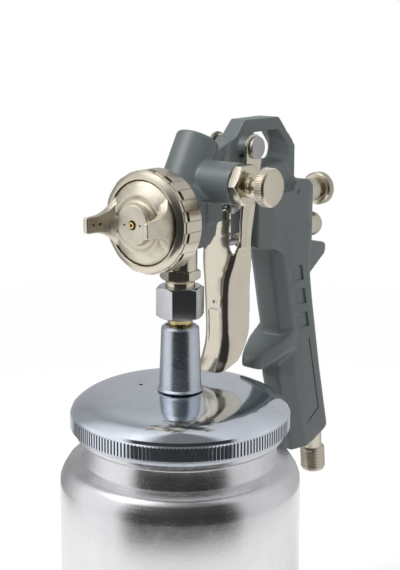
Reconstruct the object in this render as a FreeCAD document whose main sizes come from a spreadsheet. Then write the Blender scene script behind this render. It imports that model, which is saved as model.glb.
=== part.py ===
"""Suction-feed HVLP spray gun on a screwed aluminium cup, built piece by piece.

Frame: origin at the centre of the cup's base, +Z up, the gun sprays towards -Y and +X is the
user's left.  Most pieces are drawn about the spray centre, the point where the spray axis
crosses the cup's axis, and their Placement lifts them to it.  Millimetres throughout.
"""
import FreeCAD, Part
import math
import os

import Sketcher

V = FreeCAD.Vector

DIMENSIONS = [
    ("spray_height", 226.0, "spray axis above the cup's base"),
    ("wall", 1.6, "trigger sheet thickness"),
    ("fit", 0.05, "radial clearance of a running fit"),
    ("gap", 0.3, "clearance between faces that pass each other"),
    ("ring_radius", 22.5, "air cap ring, outside"),
    ("ring_front", 25.8, "ring's front face ahead of the cup axis"),
    ("ring_back", 12.0, "ring's rear edge ahead of the cup axis"),
    ("ring_mouth", 18.7, "ring's front opening radius"),
    ("ring_lip", 3.6, "thickness of the ring's front lip"),
    ("nose_radius", 20.0, "threaded nose of the body inside the ring"),
    ("collar_radius", 17.5, "round collar of the head behind the ring"),
    ("cap_flange", 19.9, "air cap flange radius"),
    ("cap_face", 25.4, "front of the air cap's rim"),
    ("cap_boss", 32.0, "front of the air cap's centre boss"),
    ("boss_radius", 8.8, "air cap's centre boss radius"),
    ("horn_reach", 18.3, "outer side of a horn's tip from the axis"),
    ("horn_front", 42.8, "front of the horns"),
    ("horn_width", 7.0, "width of a horn across the fan"),
    ("horn_tip", 2.8, "thickness of a horn at its tip"),
    ("tip_radius", 1.5, "fluid nozzle tip, outside"),
    ("orifice", 0.7, "fluid orifice radius"),
    ("needle_radius", 1.25, "needle shaft radius"),
    ("side_y", 7.9, "pattern valve axis behind the cup axis"),
    ("side_z", 15.5, "pattern valve axis above the spray axis"),
    ("side_radius", 9.35, "pattern valve boss radius"),
    ("side_face", 27.0, "face of the pattern valve boss"),
    ("side_hex", 17.0, "pattern valve hexagon across flats"),
    ("spindle_radius", 5.0, "pattern spindle radius"),
    ("side_knob_face", 44.8, "outer face of the pattern knob"),
    ("knob_radius", 8.4, "knob radius"),
    ("knob_height", 5.3, "knob thickness"),
    ("fluid_knob_face", 115.0, "rear face of the fluid knob"),
    ("pivot_y", 40.2, "trigger pivot behind the cup axis"),
    ("pivot_z", 27.7, "trigger pivot above the spray axis"),
    ("pin_radius", 2.5, "trigger pin radius"),
    ("pin_head", 5.2, "trigger pin's head radius"),
    ("ear_span", 11.5, "outer face of the trigger's ears"),
    ("air_z", -17.5, "air valve axis against the spray axis"),
    ("grip_side", 11.0, "half width of the grip"),
    ("connector_radius", 7.7, "fluid connector barrel radius"),
    ("connector_hex", 16.0, "fluid connector hexagon across flats"),
    ("thread_radius", 6.6, "quarter inch pipe thread radius"),
    ("swivel_hex", 19.0, "swivel nut across flats"),
    ("stem_top", 8.6, "lid stem radius at its top"),
    ("stem_foot", 9.6, "lid stem radius at its foot"),
    ("bead_radius", 10.5, "bead round the stem's foot"),
    ("lid_radius", 50.0, "lid rim radius over the knurl"),
    ("lid_edge", -90.5, "top edge of the lid's rim"),
    ("lid_band", 5.4, "height of the lid's knurled band"),
    ("lid_apex", -79.8, "lid's dome under the stem"),
    ("lid_wall", 1.6, "lid thickness"),
    ("neck_radius", 44.0, "cup neck radius"),
    ("crest_radius", 47.4, "cup's rolled thread crest radius"),
    ("cup_radius", 55.0, "cup radius"),
    ("cup_base", 51.0, "radius where the cup's base turns up"),
    ("cup_wall", 1.4, "cup thickness"),
    ("tube_radius", 5.0, "pickup tube radius"),
    ("nipple_radius", 6.58, "air inlet thread radius"),
    ("nipple_neck", 5.1, "air inlet neck radius"),
    ("nipple_length", 12.0, "air inlet thread length"),
]

doc = FreeCAD.newDocument("spray_gun")
pieces = []


class Cell:
    """A formula on the sheet's cells together with its present value."""

    def __init__(self, text, value):
        self.text = text
        self.value = float(value)

    def joined(self, sign, other):
        """Return this formula combined with another one or with a number."""
        other = as_cell(other)
        results = {"+": self.value + other.value, "-": self.value - other.value}
        results["*"] = self.value * other.value
        return Cell(f"({self.text} {sign} {other.text})", results[sign])

    def __add__(self, other):
        return self.joined("+", other)

    def __sub__(self, other):
        return self.joined("-", other)

    def __rsub__(self, other):
        return as_cell(other).joined("-", self)

    def __mul__(self, other):
        return self.joined("*", other)

    def __neg__(self):
        return Cell(f"(0 - {self.text})", -self.value)

    def __float__(self):
        return self.value


def as_cell(value):
    """Return a Cell for a Cell or a plain number."""
    return value if isinstance(value, Cell) else Cell(f"({float(value)})", value)


class Sizes:
    """The driving dimensions, one attribute per alias of the sheet."""

    def __init__(self):
        sheet = doc.addObject("Spreadsheet::Sheet", "Dims")
        for row, (alias, value, meaning) in enumerate(DIMENSIONS, 1):
            sheet.set(f"A{row}", meaning)
            sheet.set(f"B{row}", str(value))
            sheet.setAlias(f"B{row}", alias)
            setattr(self, alias, Cell(f"Dims.{alias}", value))
        doc.recompute()


size = Sizes()


# ------------------------------------------------------------------ places and helpers

UPWARD = FreeCAD.Rotation()
FORWARD = FreeCAD.Rotation(V(1, 0, 0), 90)
REARWARD = FreeCAD.Rotation(V(1, 0, 0), -90)
LEFTWARD = FreeCAD.Rotation(V(0, 1, 0), 90)


def bind(piece, **formulas):
    """Bind properties of a document object to sheet formulas."""
    for name, formula in formulas.items():
        piece.setExpression(name, as_cell(formula).text)


def place(piece, rotation=UPWARD, x=0.0, y=0.0, z=0.0):
    """Put a piece at a point given from the spray centre, turned by a rotation."""
    piece.Placement = FreeCAD.Placement(V(0, 0, 0), rotation)
    height = size.spray_height + z
    bind(piece, **{".Placement.Base.x": x, ".Placement.Base.y": y, ".Placement.Base.z": height})
    return piece


def keep(piece, label):
    """Name a finished piece; its label is also its file's name."""
    piece.Label = label
    pieces.append(piece)
    return piece


class Through:
    """A point that an arc of an outline passes through on its way to the next corner."""

    def __init__(self, across, along):
        self.across = as_cell(across)
        self.along = as_cell(along)


def point_of(corner):
    """Return the present position of a corner in its sketch."""
    return V(float(corner[0]), float(corner[1]), 0)


def fix_point(sketch, index, end, across, along):
    """Hold one sketch point at two sheet formulas."""
    for kind, cell in (("DistanceX", as_cell(across)), ("DistanceY", as_cell(along))):
        number = sketch.addConstraint(Sketcher.Constraint(kind, index, end, cell.value))
        sketch.setExpression(f"Constraints[{number}]", cell.text)


def add_edge(sketch, start, finish, through):
    """Add one line or arc and return (index, start's point number, finish's point number)."""
    a, b = point_of(start), point_of(finish)
    if through is None:
        return sketch.addGeometry(Part.LineSegment(a, b)), 1, 2
    middle = V(through.across.value, through.along.value, 0)
    index = sketch.addGeometry(Part.Arc(a, middle, b))
    first = 1 if sketch.getPoint(index, 1).distanceToPoint(a) < 1e-6 else 2
    return index, first, 3 - first


def draw_outline(sketch, outline):
    """Draw a closed outline whose every corner is held at sheet formulas."""
    corners = [item for item in outline if not isinstance(item, Through)]
    bends = {}
    for position, item in enumerate(outline):
        if isinstance(item, Through):
            bends[sum(not isinstance(other, Through) for other in outline[:position]) - 1] = item
    edges = []
    for number, corner in enumerate(corners):
        following = corners[(number + 1) % len(corners)]
        edges.append(add_edge(sketch, corner, following, bends.get(number)))
    for number, (index, _, last) in enumerate(edges):
        next_index, next_first, _ = edges[(number + 1) % len(edges)]
        sketch.addConstraint(Sketcher.Constraint("Coincident", index, last, next_index, next_first))
    for (index, first, _), corner in zip(edges, corners):
        fix_point(sketch, index, first, corner[0], corner[1])
    for number, bend in bends.items():
        middle = sketch.addGeometry(Part.Point(V(bend.across.value, bend.along.value, 0)), True)
        fix_point(sketch, middle, 1, bend.across, bend.along)
        sketch.addConstraint(Sketcher.Constraint("PointOnObject", middle, 1, edges[number][0]))


def sketch_on(body, role, name):
    """Return a new sketch of a body on one of its own origin planes."""
    plane = next(part for part in body.Origin.OriginFeatures if part.Role == role)
    sketch = body.newObject("Sketcher::SketchObject", name)
    sketch.AttachmentSupport = [(plane, "")]
    sketch.MapMode = "FlatFace"
    return sketch


def turned(name, outline):
    """Return a body revolved about its own Z axis from (radius, height) corners."""
    body = doc.addObject("PartDesign::Body", name)
    sketch = sketch_on(body, "XZ_Plane", name + "_outline")
    draw_outline(sketch, outline)
    doc.recompute()
    turn = body.newObject("PartDesign::Revolution", name + "_turn")
    turn.Profile = sketch
    turn.ReferenceAxis = (sketch, ["V_Axis"])
    turn.Angle = 360
    doc.recompute()
    return body


def bored(radius, bore, low, high):
    """Return the outline of a plain sleeve."""
    return [(bore, low), (radius, low), (radius, high), (bore, high)]


def hexagon(name, flats, low, high, chamfer=0.9, turn=0.0):
    """Return a hexagonal prism along Z, turned in degrees, with its corners chamfered at both ends."""
    prism = doc.addObject("Part::Prism", name + "_prism")
    prism.Polygon = 6
    prism.Placement = FreeCAD.Placement(V(0, 0, 0), FreeCAD.Rotation(V(0, 0, 1), turn))
    bind(prism, Circumradius=as_cell(flats) * (1 / math.sqrt(3)), Height=as_cell(high) - low)
    bind(prism, **{".Placement.Base.z": as_cell(low)})
    corner = as_cell(flats) * (1 / math.sqrt(3))
    edge = corner - chamfer * 1.6
    outline = [(0, low), (edge, low), (corner, as_cell(low) + chamfer)]
    outline += [(corner, as_cell(high) - chamfer), (edge, high), (0, high)]
    blank = turned(name + "_blank", outline)
    trimmed = doc.addObject("Part::Common", name + "_hex")
    trimmed.Base = prism
    trimmed.Tool = blank
    return trimmed


def fused(name, *shapes):
    """Return the union of several document objects."""
    union = doc.addObject("Part::MultiFuse", name)
    union.Shapes = list(shapes)
    return union


def cut(name, base, tool):
    """Return one document object cut by another."""
    remainder = doc.addObject("Part::Cut", name)
    remainder.Base = base
    remainder.Tool = tool
    return remainder


def drill(name, radius, low, high):
    """Return a plain cylinder along Z, for a bore."""
    tool = doc.addObject("Part::Cylinder", name)
    bind(tool, Radius=radius, Height=as_cell(high) - low)
    bind(tool, **{".Placement.Base.z": as_cell(low)})
    return tool


def solid_feature(name, shape):
    """Return a Part::Feature that holds a shape built by Part's own functions."""
    feature = doc.addObject("Part::Feature", name)
    feature.Shape = shape
    return feature


def rod(radius, start, finish):
    """Return a cylinder of a radius between two points."""
    start, finish = V(*start), V(*finish)
    return Part.makeCylinder(radius, (finish - start).Length, start, finish - start)


def slab(corners, half_width):
    """Return a plate cut to (y, z) corners that reaches half_width either side of X = 0."""
    points = [V(-half_width, y, z) for y, z in corners]
    face = Part.Face(Part.makePolygon(points + points[:1]))
    return face.extrude(V(2 * half_width, 0, 0))


def plan(corners, low, high):
    """Return a prism from (x, y) corners mirrored about X = 0, between two heights."""
    right = [V(x, y, low) for x, y in corners]
    left = [V(-x, y, low) for x, y in reversed(corners) if x > 0]
    face = Part.Face(Part.makePolygon(right + left + right[:1]))
    return face.extrude(V(0, 0, high - low))


def coil(radius, wire, length, turns):
    """Return a compression spring along Z with its first coil starting at Z = 0."""
    pitch = (length - 2 * wire) / turns
    helix = Part.makeHelix(pitch, pitch * turns, radius)
    helix.translate(V(0, 0, wire))
    ring = Part.makeCircle(wire, V(radius, 0, wire), V(0, 1, 0))
    return Part.Wire(helix.Edges).makePipeShell([Part.Wire([ring])], True, True)


# ------------------------------------------------------------------ the body casting

# Grip sections from top to bottom: height, flat front, where the side begins, rear.
GRIP_SECTIONS = [
    (-14.0, 59.0, 66.5, 96.0),
    (-24.0, 61.6, 69.0, 95.2),
    (-38.0, 64.9, 72.5, 94.4),
    (-54.0, 68.2, 76.0, 97.2),
    (-66.0, 70.8, 79.0, 99.8),
    (-90.0, 71.0, 81.5, 104.9),
    (-112.0, 77.5, 87.0, 110.4),
    (-140.0, 86.5, 96.0, 117.6),
]
GRIP_FRONT_FLAT = 5.0
GRIP_BACK_ROUND = 8.5
GRIP_FOOT = [(60, -141.5), (83.5, -133.5), (115.0, -123.0), (135, -116.3), (135, -150), (60, -150)]

HOOK_OUTSIDE = [(14, 6), (14, 25), (22, 28.2), (34.8, 32.2), (41.6, 39.4), (42.6, 40), (67, 40), (80.2, 25.4),
                (80.2, 4), (40, 4)]
# The loop's opening is wider at the two side faces than at the parting line in the middle.
HOOK_FACE_HOLE = [(47.5, 19.0), (47.5, 32.4), (49.5, 34.2), (66.8, 34.0), (68.6, 33.0), (75.4, 25.6),
                  (75.8, 23.6), (74.9, 20.6), (72.6, 18.6), (70.0, 18.0), (50.0, 18.0)]
HOOK_MIDDLE_HOLE = [(47.5, 20.2), (47.5, 31.4), (49.5, 33.0), (63.4, 33.0), (65.0, 32.6), (67.0, 30.2),
                    (67.4, 27.0), (67.0, 23.0), (66.2, 21.0), (64.6, 20.0), (50.0, 20.0)]
HOOK_PLAN = [(0, 13), (4.6, 13), (4.4, 44), (6.6, 74), (6.6, 82), (0, 82)]
# The strut's foot flares: height, front, rear, half width.
STRUT_SECTIONS = [(31.5, 31.0, 37.5, 4.2), (14.0, 19.0, 33.0, 9.2)]
BRIDGE_SIDE = [(8, -4), (8, 17), (22, 17.5), (60, 17.6), (72, 16.5), (79, 9.5), (93, 7), (93, 0), (60, 0),
               (50, 7), (19, 7), (19, -4)]
BRIDGE_PLAN = [(0, 6), (9.2, 6), (9.2, 38), (7.4, 50), (7.4, 95), (0, 95)]
BLOCK_PLAN = [(0, 47.5), (8.3, 47.5), (10.5, 57.0), (10.5, 87.5), (8.5, 94.0), (4.5, 96.8), (0, 96.8)]
BLOCK_SIDE = [(47.5, 2.0), (60, 3.6), (73.5, 4.0), (76.5, 8.0), (80, 9.0), (87, 8.2), (93, 5.6), (96.8, 1.2),
              (96.8, -26), (66, -26), (60.5, -23.6), (53.0, -21.8), (47.5, -21.0)]
BLOCK_TOP_SIDE = [(47.5, -5), (47.5, 7.0), (60, 9.0), (80, 9.0), (80, -5)]
BLOCK_TOP_WIDTH = 7.4
FRONT_SPUR_SIDE = [(78, -65.0), (71.5, -68.6), (65.5, -71.2), (58.6, -73.6), (54.4, -75.8), (51.2, -79.0),
                   (51.0, -80.6), (52.4, -82.2), (57.0, -83.6), (66.0, -84.4), (78, -85.0)]
FRONT_SPUR_PLAN = [(0, 50.5), (3.4, 51.5), (5.4, 54.5), (10.0, 66.0), (10.9, 71.0), (10.9, 78.0), (0, 78.0)]
# The front rest's underside rises to both sides: (x, z).
FRONT_SPUR_FRONT = [(-11.5, -60), (-11.5, -74.5), (-8, -80), (-4, -84), (4, -84), (8, -80), (11.5, -74.5),
                    (11.5, -60)]
REAR_SPUR_SIDE = [(86, -24.0), (109, -27.0), (114.8, -28.6), (116.4, -31.4), (115.0, -33.0), (105.0, -36.2),
                  (95.4, -39.6), (86, -42.4)]
REAR_SPUR_PLAN = [(0, 84), (9.5, 84), (8.4, 95), (5.0, 111.5), (3.0, 115.4), (0, 116.4)]
LOWER_HEAD = [(-11.5, 8), (-11.5, -14.0), (5.0, -14.5), (11.0, -13.6), (15.0, -10.0), (16.4, -5.0),
              (16.4, 8)]
TOP_BOSS_LEAN = 30.0
# Rear upper corners of the three thumb recesses, and the groove of the bare panel.
THUMB_RECESSES = [(81.3, -33.6), (84.0, -46.0), (86.8, -58.4)]
RECESS_DEPTH = 0.9
PANEL_GROOVE = [(88.6, -73), (89.5, -72.8), (99.4, -112.5), (87.0, -119.6), (86.5, -118.7), (98.3, -112.1)]
GROOVE_DEPTH = 0.6


def grip_section(height, front, side_start, rear):
    """Return the closed outline of the grip at one height."""
    side, flat, back = float(size.grip_side), GRIP_FRONT_FLAT, GRIP_BACK_ROUND
    corner = side - back
    bend = back * math.sqrt(0.5)
    left = [V(flat, front, height), V(side - 0.8, side_start - 3.2, height)]
    left += [V(side, side_start + 3, height), V(side, rear - back, height)]
    left += [V(corner + bend, rear - back + bend, height), V(corner, rear, height)]
    right = [V(-point.x, point.y, point.z) for point in left]
    edges = [Part.LineSegment(right[0], left[0]), Part.LineSegment(left[0], left[1])]
    edges += [Part.LineSegment(left[1], left[2]), Part.LineSegment(left[2], left[3])]
    edges += [Part.Arc(left[3], left[4], left[5]), Part.LineSegment(left[5], right[5])]
    edges += [Part.Arc(right[5], right[4], right[3]), Part.LineSegment(right[3], right[2])]
    edges += [Part.LineSegment(right[2], right[1]), Part.LineSegment(right[1], right[0])]
    return Part.Wire([edge.toShape() for edge in edges])


def grip_solid():
    """Return the grip, cut square to its own axis at the foot."""
    loft = Part.makeLoft([grip_section(*section) for section in GRIP_SECTIONS], True, True)
    return loft.cut(slab(GRIP_FOOT, 30))


def top_boss():
    """Return the blank boss for a top cup, leaning back from the collar."""
    lean = math.radians(TOP_BOSS_LEAN)
    rise = V(0, math.sin(lean), math.cos(lean))
    top = V(0, 12.6, 33.4)
    boss = Part.makeCylinder(9.9, 30, top - rise * 30, rise)
    return boss.makeFillet(1.0, [edge for edge in boss.Edges if (edge.CenterOfMass - top).Length < 1])


def head_solid():
    """Return the round head with its collar, lower block, side boss and top boss."""
    nose = rod(float(size.nose_radius), (0, -17.2, 0), (0, -11.2, 0))
    collar = rod(float(size.collar_radius), (0, -11.7, 0), (0, 8.0, 0))
    tail = Part.makeCone(float(size.collar_radius), 15.0, 7.0, V(0, 7.9, 0), V(0, 1, 0))
    above = slab([(-30, 8.8), (-30, 30), (30, 30), (30, 8.8)], 30)
    round_part = collar.fuse(tail).common(above)
    rear_collar = rod(17.5, (0, -11.7, 0), (0, -9.0, 0))
    lower = slab(LOWER_HEAD, 8.4)
    side_y, side_z = float(size.side_y), float(size.side_z)
    side = rod(float(size.side_radius), (0, side_y, side_z), (float(size.side_face), side_y, side_z))
    return nose.fuse([round_part, rear_collar, lower, side, top_boss()])


def hook_opening(side):
    """Return the half of the loop's opening from the parting line out to one side."""
    wires = []
    for x, corners in ((0.0, HOOK_MIDDLE_HOLE), (6.6 * side, HOOK_FACE_HOLE)):
        points = [V(x, y, z) for y, z in corners]
        wires.append(Part.makePolygon(points + points[:1]))
    return Part.makeLoft(wires, True, True)


def hook_solid():
    """Return the hanging hook with its flared front strut and its loop."""
    strap = slab(HOOK_OUTSIDE, 12).common(plan(HOOK_PLAN, 0, 45))
    strap = strap.cut([hook_opening(1), hook_opening(-1)])
    wires = []
    for height, front, rear, half in STRUT_SECTIONS:
        points = [V(-half, front, height), V(half, front, height)]
        points += [V(half, rear, height), V(-half, rear, height)]
        wires.append(Part.makePolygon(points + points[:1]))
    return strap.fuse(Part.makeLoft(wires, True, True))


def spur(side_corners, plan_corners, low, high):
    """Return a finger rest given by its side view and its plan."""
    return slab(side_corners, 15).common(plan(plan_corners, low, high))


def front_rest():
    """Return the rest under the middle finger, whose underside rises to the sides."""
    points = [V(x, 40, z) for x, z in FRONT_SPUR_FRONT]
    mask = Part.Face(Part.makePolygon(points + points[:1])).extrude(V(0, 45, 0))
    return spur(FRONT_SPUR_SIDE, FRONT_SPUR_PLAN, -92, -60).common(mask)


def passages():
    """Return every bore of the casting: fluid, needle, air and screwed-in parts."""
    air = float(size.air_z)
    clear = float(size.fit)
    side = (float(size.side_y), float(size.side_z))
    pivot = (float(size.pivot_y), float(size.pivot_z))
    tools = [
        rod(6.0 + clear, (0, -18, 0), (0, -7.0, 0)),
        rod(4.2, (0, -8, 0), (0, 9.0, 0)),
        rod(3.5 + clear, (0, 8, 0), (0, 17, 0)),
        rod(5.4, (0, 16.4, 0), (0, 40, 0)),
        rod(6.5 + clear, (0, 0, -20), (0, 0, -5.0)),
        rod(4.0, (0, 0, -6), (0, 0, 0)),
        rod(6.5 + clear, (10.5, *side), (28, *side)),
        rod(2.6, (0, *side), (12, *side)),
        rod(3.0, (0, 45, 0), (0, 76, 0)),
        rod(4.6 + clear, (0, 72.4, 0), (0, 100, 0)),
        rod(4.5, (0, 45, 0), (0, 50, 0)),
        rod(3.6 + clear, (0, 45, air), (0, 58, air)),
        rod(2.6, (0, 57, air), (0, 74, air)),
        rod(5.6 + clear, (0, 71, air), (0, 100, air)),
        rod(3.0, (0, -18, 12.5), (0, 66, 12.5)),
        rod(2.4, (0, 65.5, 12.5), (0, 65.5, -16)),
        rod(2.8, (0, 83, air), (0, 108.2, -121)),
        rod(float(size.pin_radius) + 0.02, (-12, *pivot), (12, *pivot)),
    ]
    direction = V(0, 0.1, -0.995)
    seat = V(0, 109.6, -125.6)
    tools.append(Part.makeCylinder(4.6 + clear, 14, seat - direction * 9, direction))
    return tools


def grip_recesses():
    """Return the three thumb recesses and the bare panel line in the grip's left side."""
    tools = [slab(PANEL_GROOVE, GROOVE_DEPTH)]
    for rear, top in THUMB_RECESSES:
        corners = [(rear - 11, top), (rear, top - 0.8), (rear + 1.9, top - 9.0), (rear - 9.5, top - 8.2)]
        tools.append(slab(corners, RECESS_DEPTH))
    side = float(size.grip_side)
    for tool in tools:
        tool.translate(V(side, 0, 0))
    return tools


def body_shape():
    """Return the one-piece aluminium casting about the spray centre."""
    block = slab(BLOCK_SIDE, 12).common(plan(BLOCK_PLAN, -45, 12))
    block = block.fuse(slab(BLOCK_TOP_SIDE, BLOCK_TOP_WIDTH))
    bridge = slab(BRIDGE_SIDE, 12).common(plan(BRIDGE_PLAN, -6, 22))
    pivot_y, pivot_z = float(size.pivot_y), float(size.pivot_z)
    pivot = rod(4.7, (-9.5, pivot_y, pivot_z), (9.5, pivot_y, pivot_z))
    solids = [grip_solid(), block, bridge, hook_solid(), pivot, front_rest()]
    solids.append(spur(REAR_SPUR_SIDE, REAR_SPUR_PLAN, -52, -20))
    casting = head_solid().fuse(solids)
    casting = casting.cut(passages() + grip_recesses())
    return casting.removeSplitter()


def gun_body():
    """Make the body casting."""
    keep(place(solid_feature("BodyCasting", body_shape())), "gun_body")


# ------------------------------------------------------------------ spray head

def air_cap_ring():
    """Make the screwed ring that holds the air cap."""
    bore = size.nose_radius + size.gap
    lip = size.ring_front - size.ring_lip
    outline = [(bore, size.ring_back), (size.ring_radius - 0.6, size.ring_back)]
    outline += [(size.ring_radius, size.ring_back + 0.6), (size.ring_radius, size.ring_front - 1.6)]
    outline += [(size.ring_radius - 0.5, size.ring_front - 0.9), (size.ring_mouth + 0.5, size.ring_front)]
    outline += [(size.ring_mouth, size.ring_front - 0.5), (size.ring_mouth, lip), (bore, lip)]
    keep(place(turned("CapRing", outline), FORWARD), "air_cap_ring")


def horn(side):
    """Return one horn of the air cap, drawn forward along Z, on one side of the axis."""
    reach, front = float(size.horn_reach), float(size.horn_front)
    half, tip = float(size.horn_width) / 2, float(size.horn_tip)
    outer = [V(reach - 0.4, 0, 23), V(reach - 0.4, 0, 26.4), V(reach + 0.5, 0, 30)]
    outer += [V(reach, 0, front - 1), V(reach - 1, 0, front)]
    inner = [V(reach - tip + 0.6, 0, front), V(reach - tip, 0, front - 1)]
    inner += [V(reach - tip - 1.2, 0, 33), V(5, 0, 27), V(5, 0, 23)]
    points = [V(point.x * side, -half, point.z) for point in outer + inner]
    return Part.Face(Part.makePolygon(points + points[:1])).extrude(V(0, 2 * half, 0))


def air_cap():
    """Make the air cap: a cone with a centre boss, two drilled horns and a hollow back."""
    edge, face, boss = 18.4, float(size.cap_face), float(size.cap_boss)
    flange = float(size.cap_flange)
    under_lip = float(size.ring_front) - float(size.ring_lip) - 0.15
    radius = float(size.boss_radius)
    reach = float(size.horn_reach)
    outline = [(0, 17.6), (flange, 17.6), (flange, under_lip), (edge, under_lip), (edge, face)]
    outline += [(17.0, face + 0.2), (radius + 1.5, 28.5), (radius, 30.0), (radius - 0.4, boss), (0, boss)]
    face_wire = Part.makePolygon([V(r, 0, z) for r, z in outline + outline[:1]])
    cap = Part.Face(face_wire).revolve(V(0, 0, 0), V(0, 0, 1), 360)
    cap = cap.fuse([horn(1), horn(-1)])
    hollow = [(0, 17), (17.4, 17), (17.4, 20.5), (6.6, 26.0), (2.6, 30.6), (0, 30.6)]
    tool = Part.Face(Part.makePolygon([V(r, 0, z) for r, z in hollow + hollow[:1]]))
    holes = [tool.revolve(V(0, 0, 0), V(0, 0, 1), 360)]
    holes.append(rod(float(size.tip_radius) + 0.6, (0, 0, 30), (0, 0, 34)))
    for side in (1, -1):
        holes.append(rod(0.5, (side * 4.6, 0, 26), (side * 4.6, 0, 34)))
        holes.append(rod(1.0, (side * 14.8, 0, 19), (side * (reach - 1.9), 0, 39.6)))
        for height in (33.6, 38.0):
            holes.append(rod(0.6, (side * (reach - 2.4), 0, height + 0.4), (side * 9.5, 0, height + 2.8)))
    keep(place(solid_feature("AirCap", cap.cut(holes)), FORWARD), "air_cap")


def fluid_nozzle():
    """Make the fluid nozzle that screws into the head and ends in the tip."""
    tip = size.cap_boss + 0.6
    outer = [(6.0, 7.2), (6.0, 17.3), (7.2, 17.3), (7.2, 19.8), (5.6, 20.4), (5.2, 24.0), (2.0, 29.6)]
    outer += [(size.tip_radius, 30.4), (size.tip_radius, tip)]
    inner = [(size.orifice, tip), (size.orifice, tip - 1.2), (2.6, tip - 5.2), (2.6, 7.2)]
    keep(place(turned("FluidNozzle", outer + inner), FORWARD), "fluid_nozzle")


def air_baffle():
    """Make the ring that spreads the air behind the cap."""
    keep(place(turned("BaffleDisc", bored(17.2, 7.4, 17.3, 18.5)), FORWARD), "air_baffle")


def needle_group():
    """Make the needle with its collar, its packing, the packing nut and the spring."""
    shaft = size.needle_radius
    outline = [(0, -31.6), (0.35, -31.6), (shaft, -27.2), (shaft, 37.9), (4.0, 37.9), (4.0, 41.0)]
    outline += [(2.6, 42.2), (2.6, 73.0), (3.4, 73.0), (3.4, 75.0), (1.6, 75.0), (1.6, 82.0), (0, 82.0)]
    keep(place(turned("Needle", outline), REARWARD), "fluid_needle")
    bore = shaft + size.fit
    keep(place(turned("Packing", bored(3.5, bore, 9.0, 12.4)), REARWARD), "needle_packing")
    nut = hexagon("PackingNutHead", 8.0, 16.5, 20.0, 0.5)
    body = fused("PackingNutBlank", nut, turned("PackingNutThread", bored(3.5, 0.5, 12.4, 16.6)))
    nut = cut("PackingNut", body, drill("PackingNutBore", bore, 10, 22))
    keep(place(nut, REARWARD), "needle_packing_nut")
    spring = solid_feature("NeedleCoil", coil(2.75, 0.45, 17.4, 7))
    keep(place(spring, REARWARD, y=75.2), "needle_spring")


# ------------------------------------------------------------------ controls

def fluid_control():
    """Make the rear sleeve, the fluid knob with its screw, and the spring pad."""
    sleeve = [(4.6, 90.0), (4.6, 96.9), (5.8, 96.9), (5.8, 106.2), (5.2, 106.8), (3.9, 106.8), (3.9, 90.0)]
    keep(place(turned("FluidSleeve", sleeve), REARWARD), "fluid_sleeve")
    rim, face = size.knob_radius, size.fluid_knob_face
    foot = face - 5.8
    knob = [(2.2, 95.2), (3.8, 95.2), (3.8, foot), (rim - 0.6, foot), (rim, foot + 0.6)]
    knob += [(rim, face - 1.0), (rim - 0.9, face), (0, face), (0, 102.0), (2.2, 102.0)]
    keep(place(turned("FluidKnob", knob), REARWARD), "fluid_knob")
    pad = [(2.1, 93.0), (3.6, 93.0), (3.6, 94.2), (3.2, 95.0), (2.1, 95.0)]
    keep(place(turned("SpringPad", pad), REARWARD), "fluid_spring_pad")


def pattern_control():
    """Make the fan pattern valve: hexagon body, spindle, seal and knob."""
    face = size.side_face
    head = hexagon("PatternHead", size.side_hex, face + 0.1, face + 5.0, turn=30.0)
    thread = turned("PatternThread", bored(6.5, 3.0, 15.0, face + 0.2))
    bore = drill("PatternBore", size.spindle_radius + size.fit, 17, 40)
    low_bore = drill("PatternLowBore", 3.6, 10, 18)
    blank = fused("PatternBlank", head, thread)
    valve = cut("PatternValve", blank, fused("PatternBores", bore, low_bore))
    keep(place(valve, LEFTWARD, y=size.side_y, z=size.side_z), "pattern_valve_body")
    knob_foot = size.side_knob_face - size.knob_height
    shank = size.spindle_radius
    spindle = [(0, 11.5), (1.4, 11.5), (2.3, 14.0), (2.3, 20.2), (3.4, 20.2), (3.4, 22.4), (shank, 22.4)]
    spindle += [(shank, 33.0), (shank - 0.9, 34.0), (shank - 0.9, knob_foot), (0, knob_foot)]
    keep(place(turned("PatternSpindle", spindle), LEFTWARD, y=size.side_y, z=size.side_z), "pattern_spindle")
    rim = size.knob_radius
    knob = [(0, knob_foot), (rim - 0.5, knob_foot), (rim, knob_foot + 0.5), (rim, size.side_knob_face - 0.8)]
    knob += [(rim - 0.8, size.side_knob_face), (0, size.side_knob_face)]
    keep(place(turned("PatternKnob", knob), LEFTWARD, y=size.side_y, z=size.side_z), "pattern_knob")
    seal = turned("PatternSeal", bored(shank, 3.45, 20.4, 22.2))
    keep(place(seal, LEFTWARD, y=size.side_y, z=size.side_z), "pattern_seal")


# ------------------------------------------------------------------ trigger

# Finger part from top to bottom: height, front, rear, half width in front, half width behind.
TRIGGER_SECTIONS = [
    (3.4, 32.4, 40.6, 11.5, 11.5),
    (-14.0, 29.4, 37.4, 11.5, 11.5),
    (-24.0, 27.0, 37.8, 9.6, 11.5),
    (-34.0, 25.4, 38.4, 6.4, 10.2),
    (-48.0, 25.6, 38.8, 5.6, 9.8),
    (-58.0, 26.0, 38.8, 5.6, 9.6),
    (-65.0, 25.0, 36.6, 6.2, 9.2),
    (-71.0, 22.6, 32.6, 7.0, 8.6),
    (-76.2, 19.8, 27.0, 7.2, 7.8),
]
EAR_CORNERS = [(34.5, 30.4), (45.9, 30.4), (45.5, 20), (41.9, 5), (38.0, -11), (37.2, -17), (28.2, -17),
               (30.2, -5), (33.6, 15), (33.8, 25)]
# Openings either side of the middle tongue, seen from the front: (x, z).
TONGUE_SLOT = [(4.3, 9), (4.1, -5), (5.4, -13), (7.6, -19), (9.9, -22), (9.9, 9)]


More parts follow.
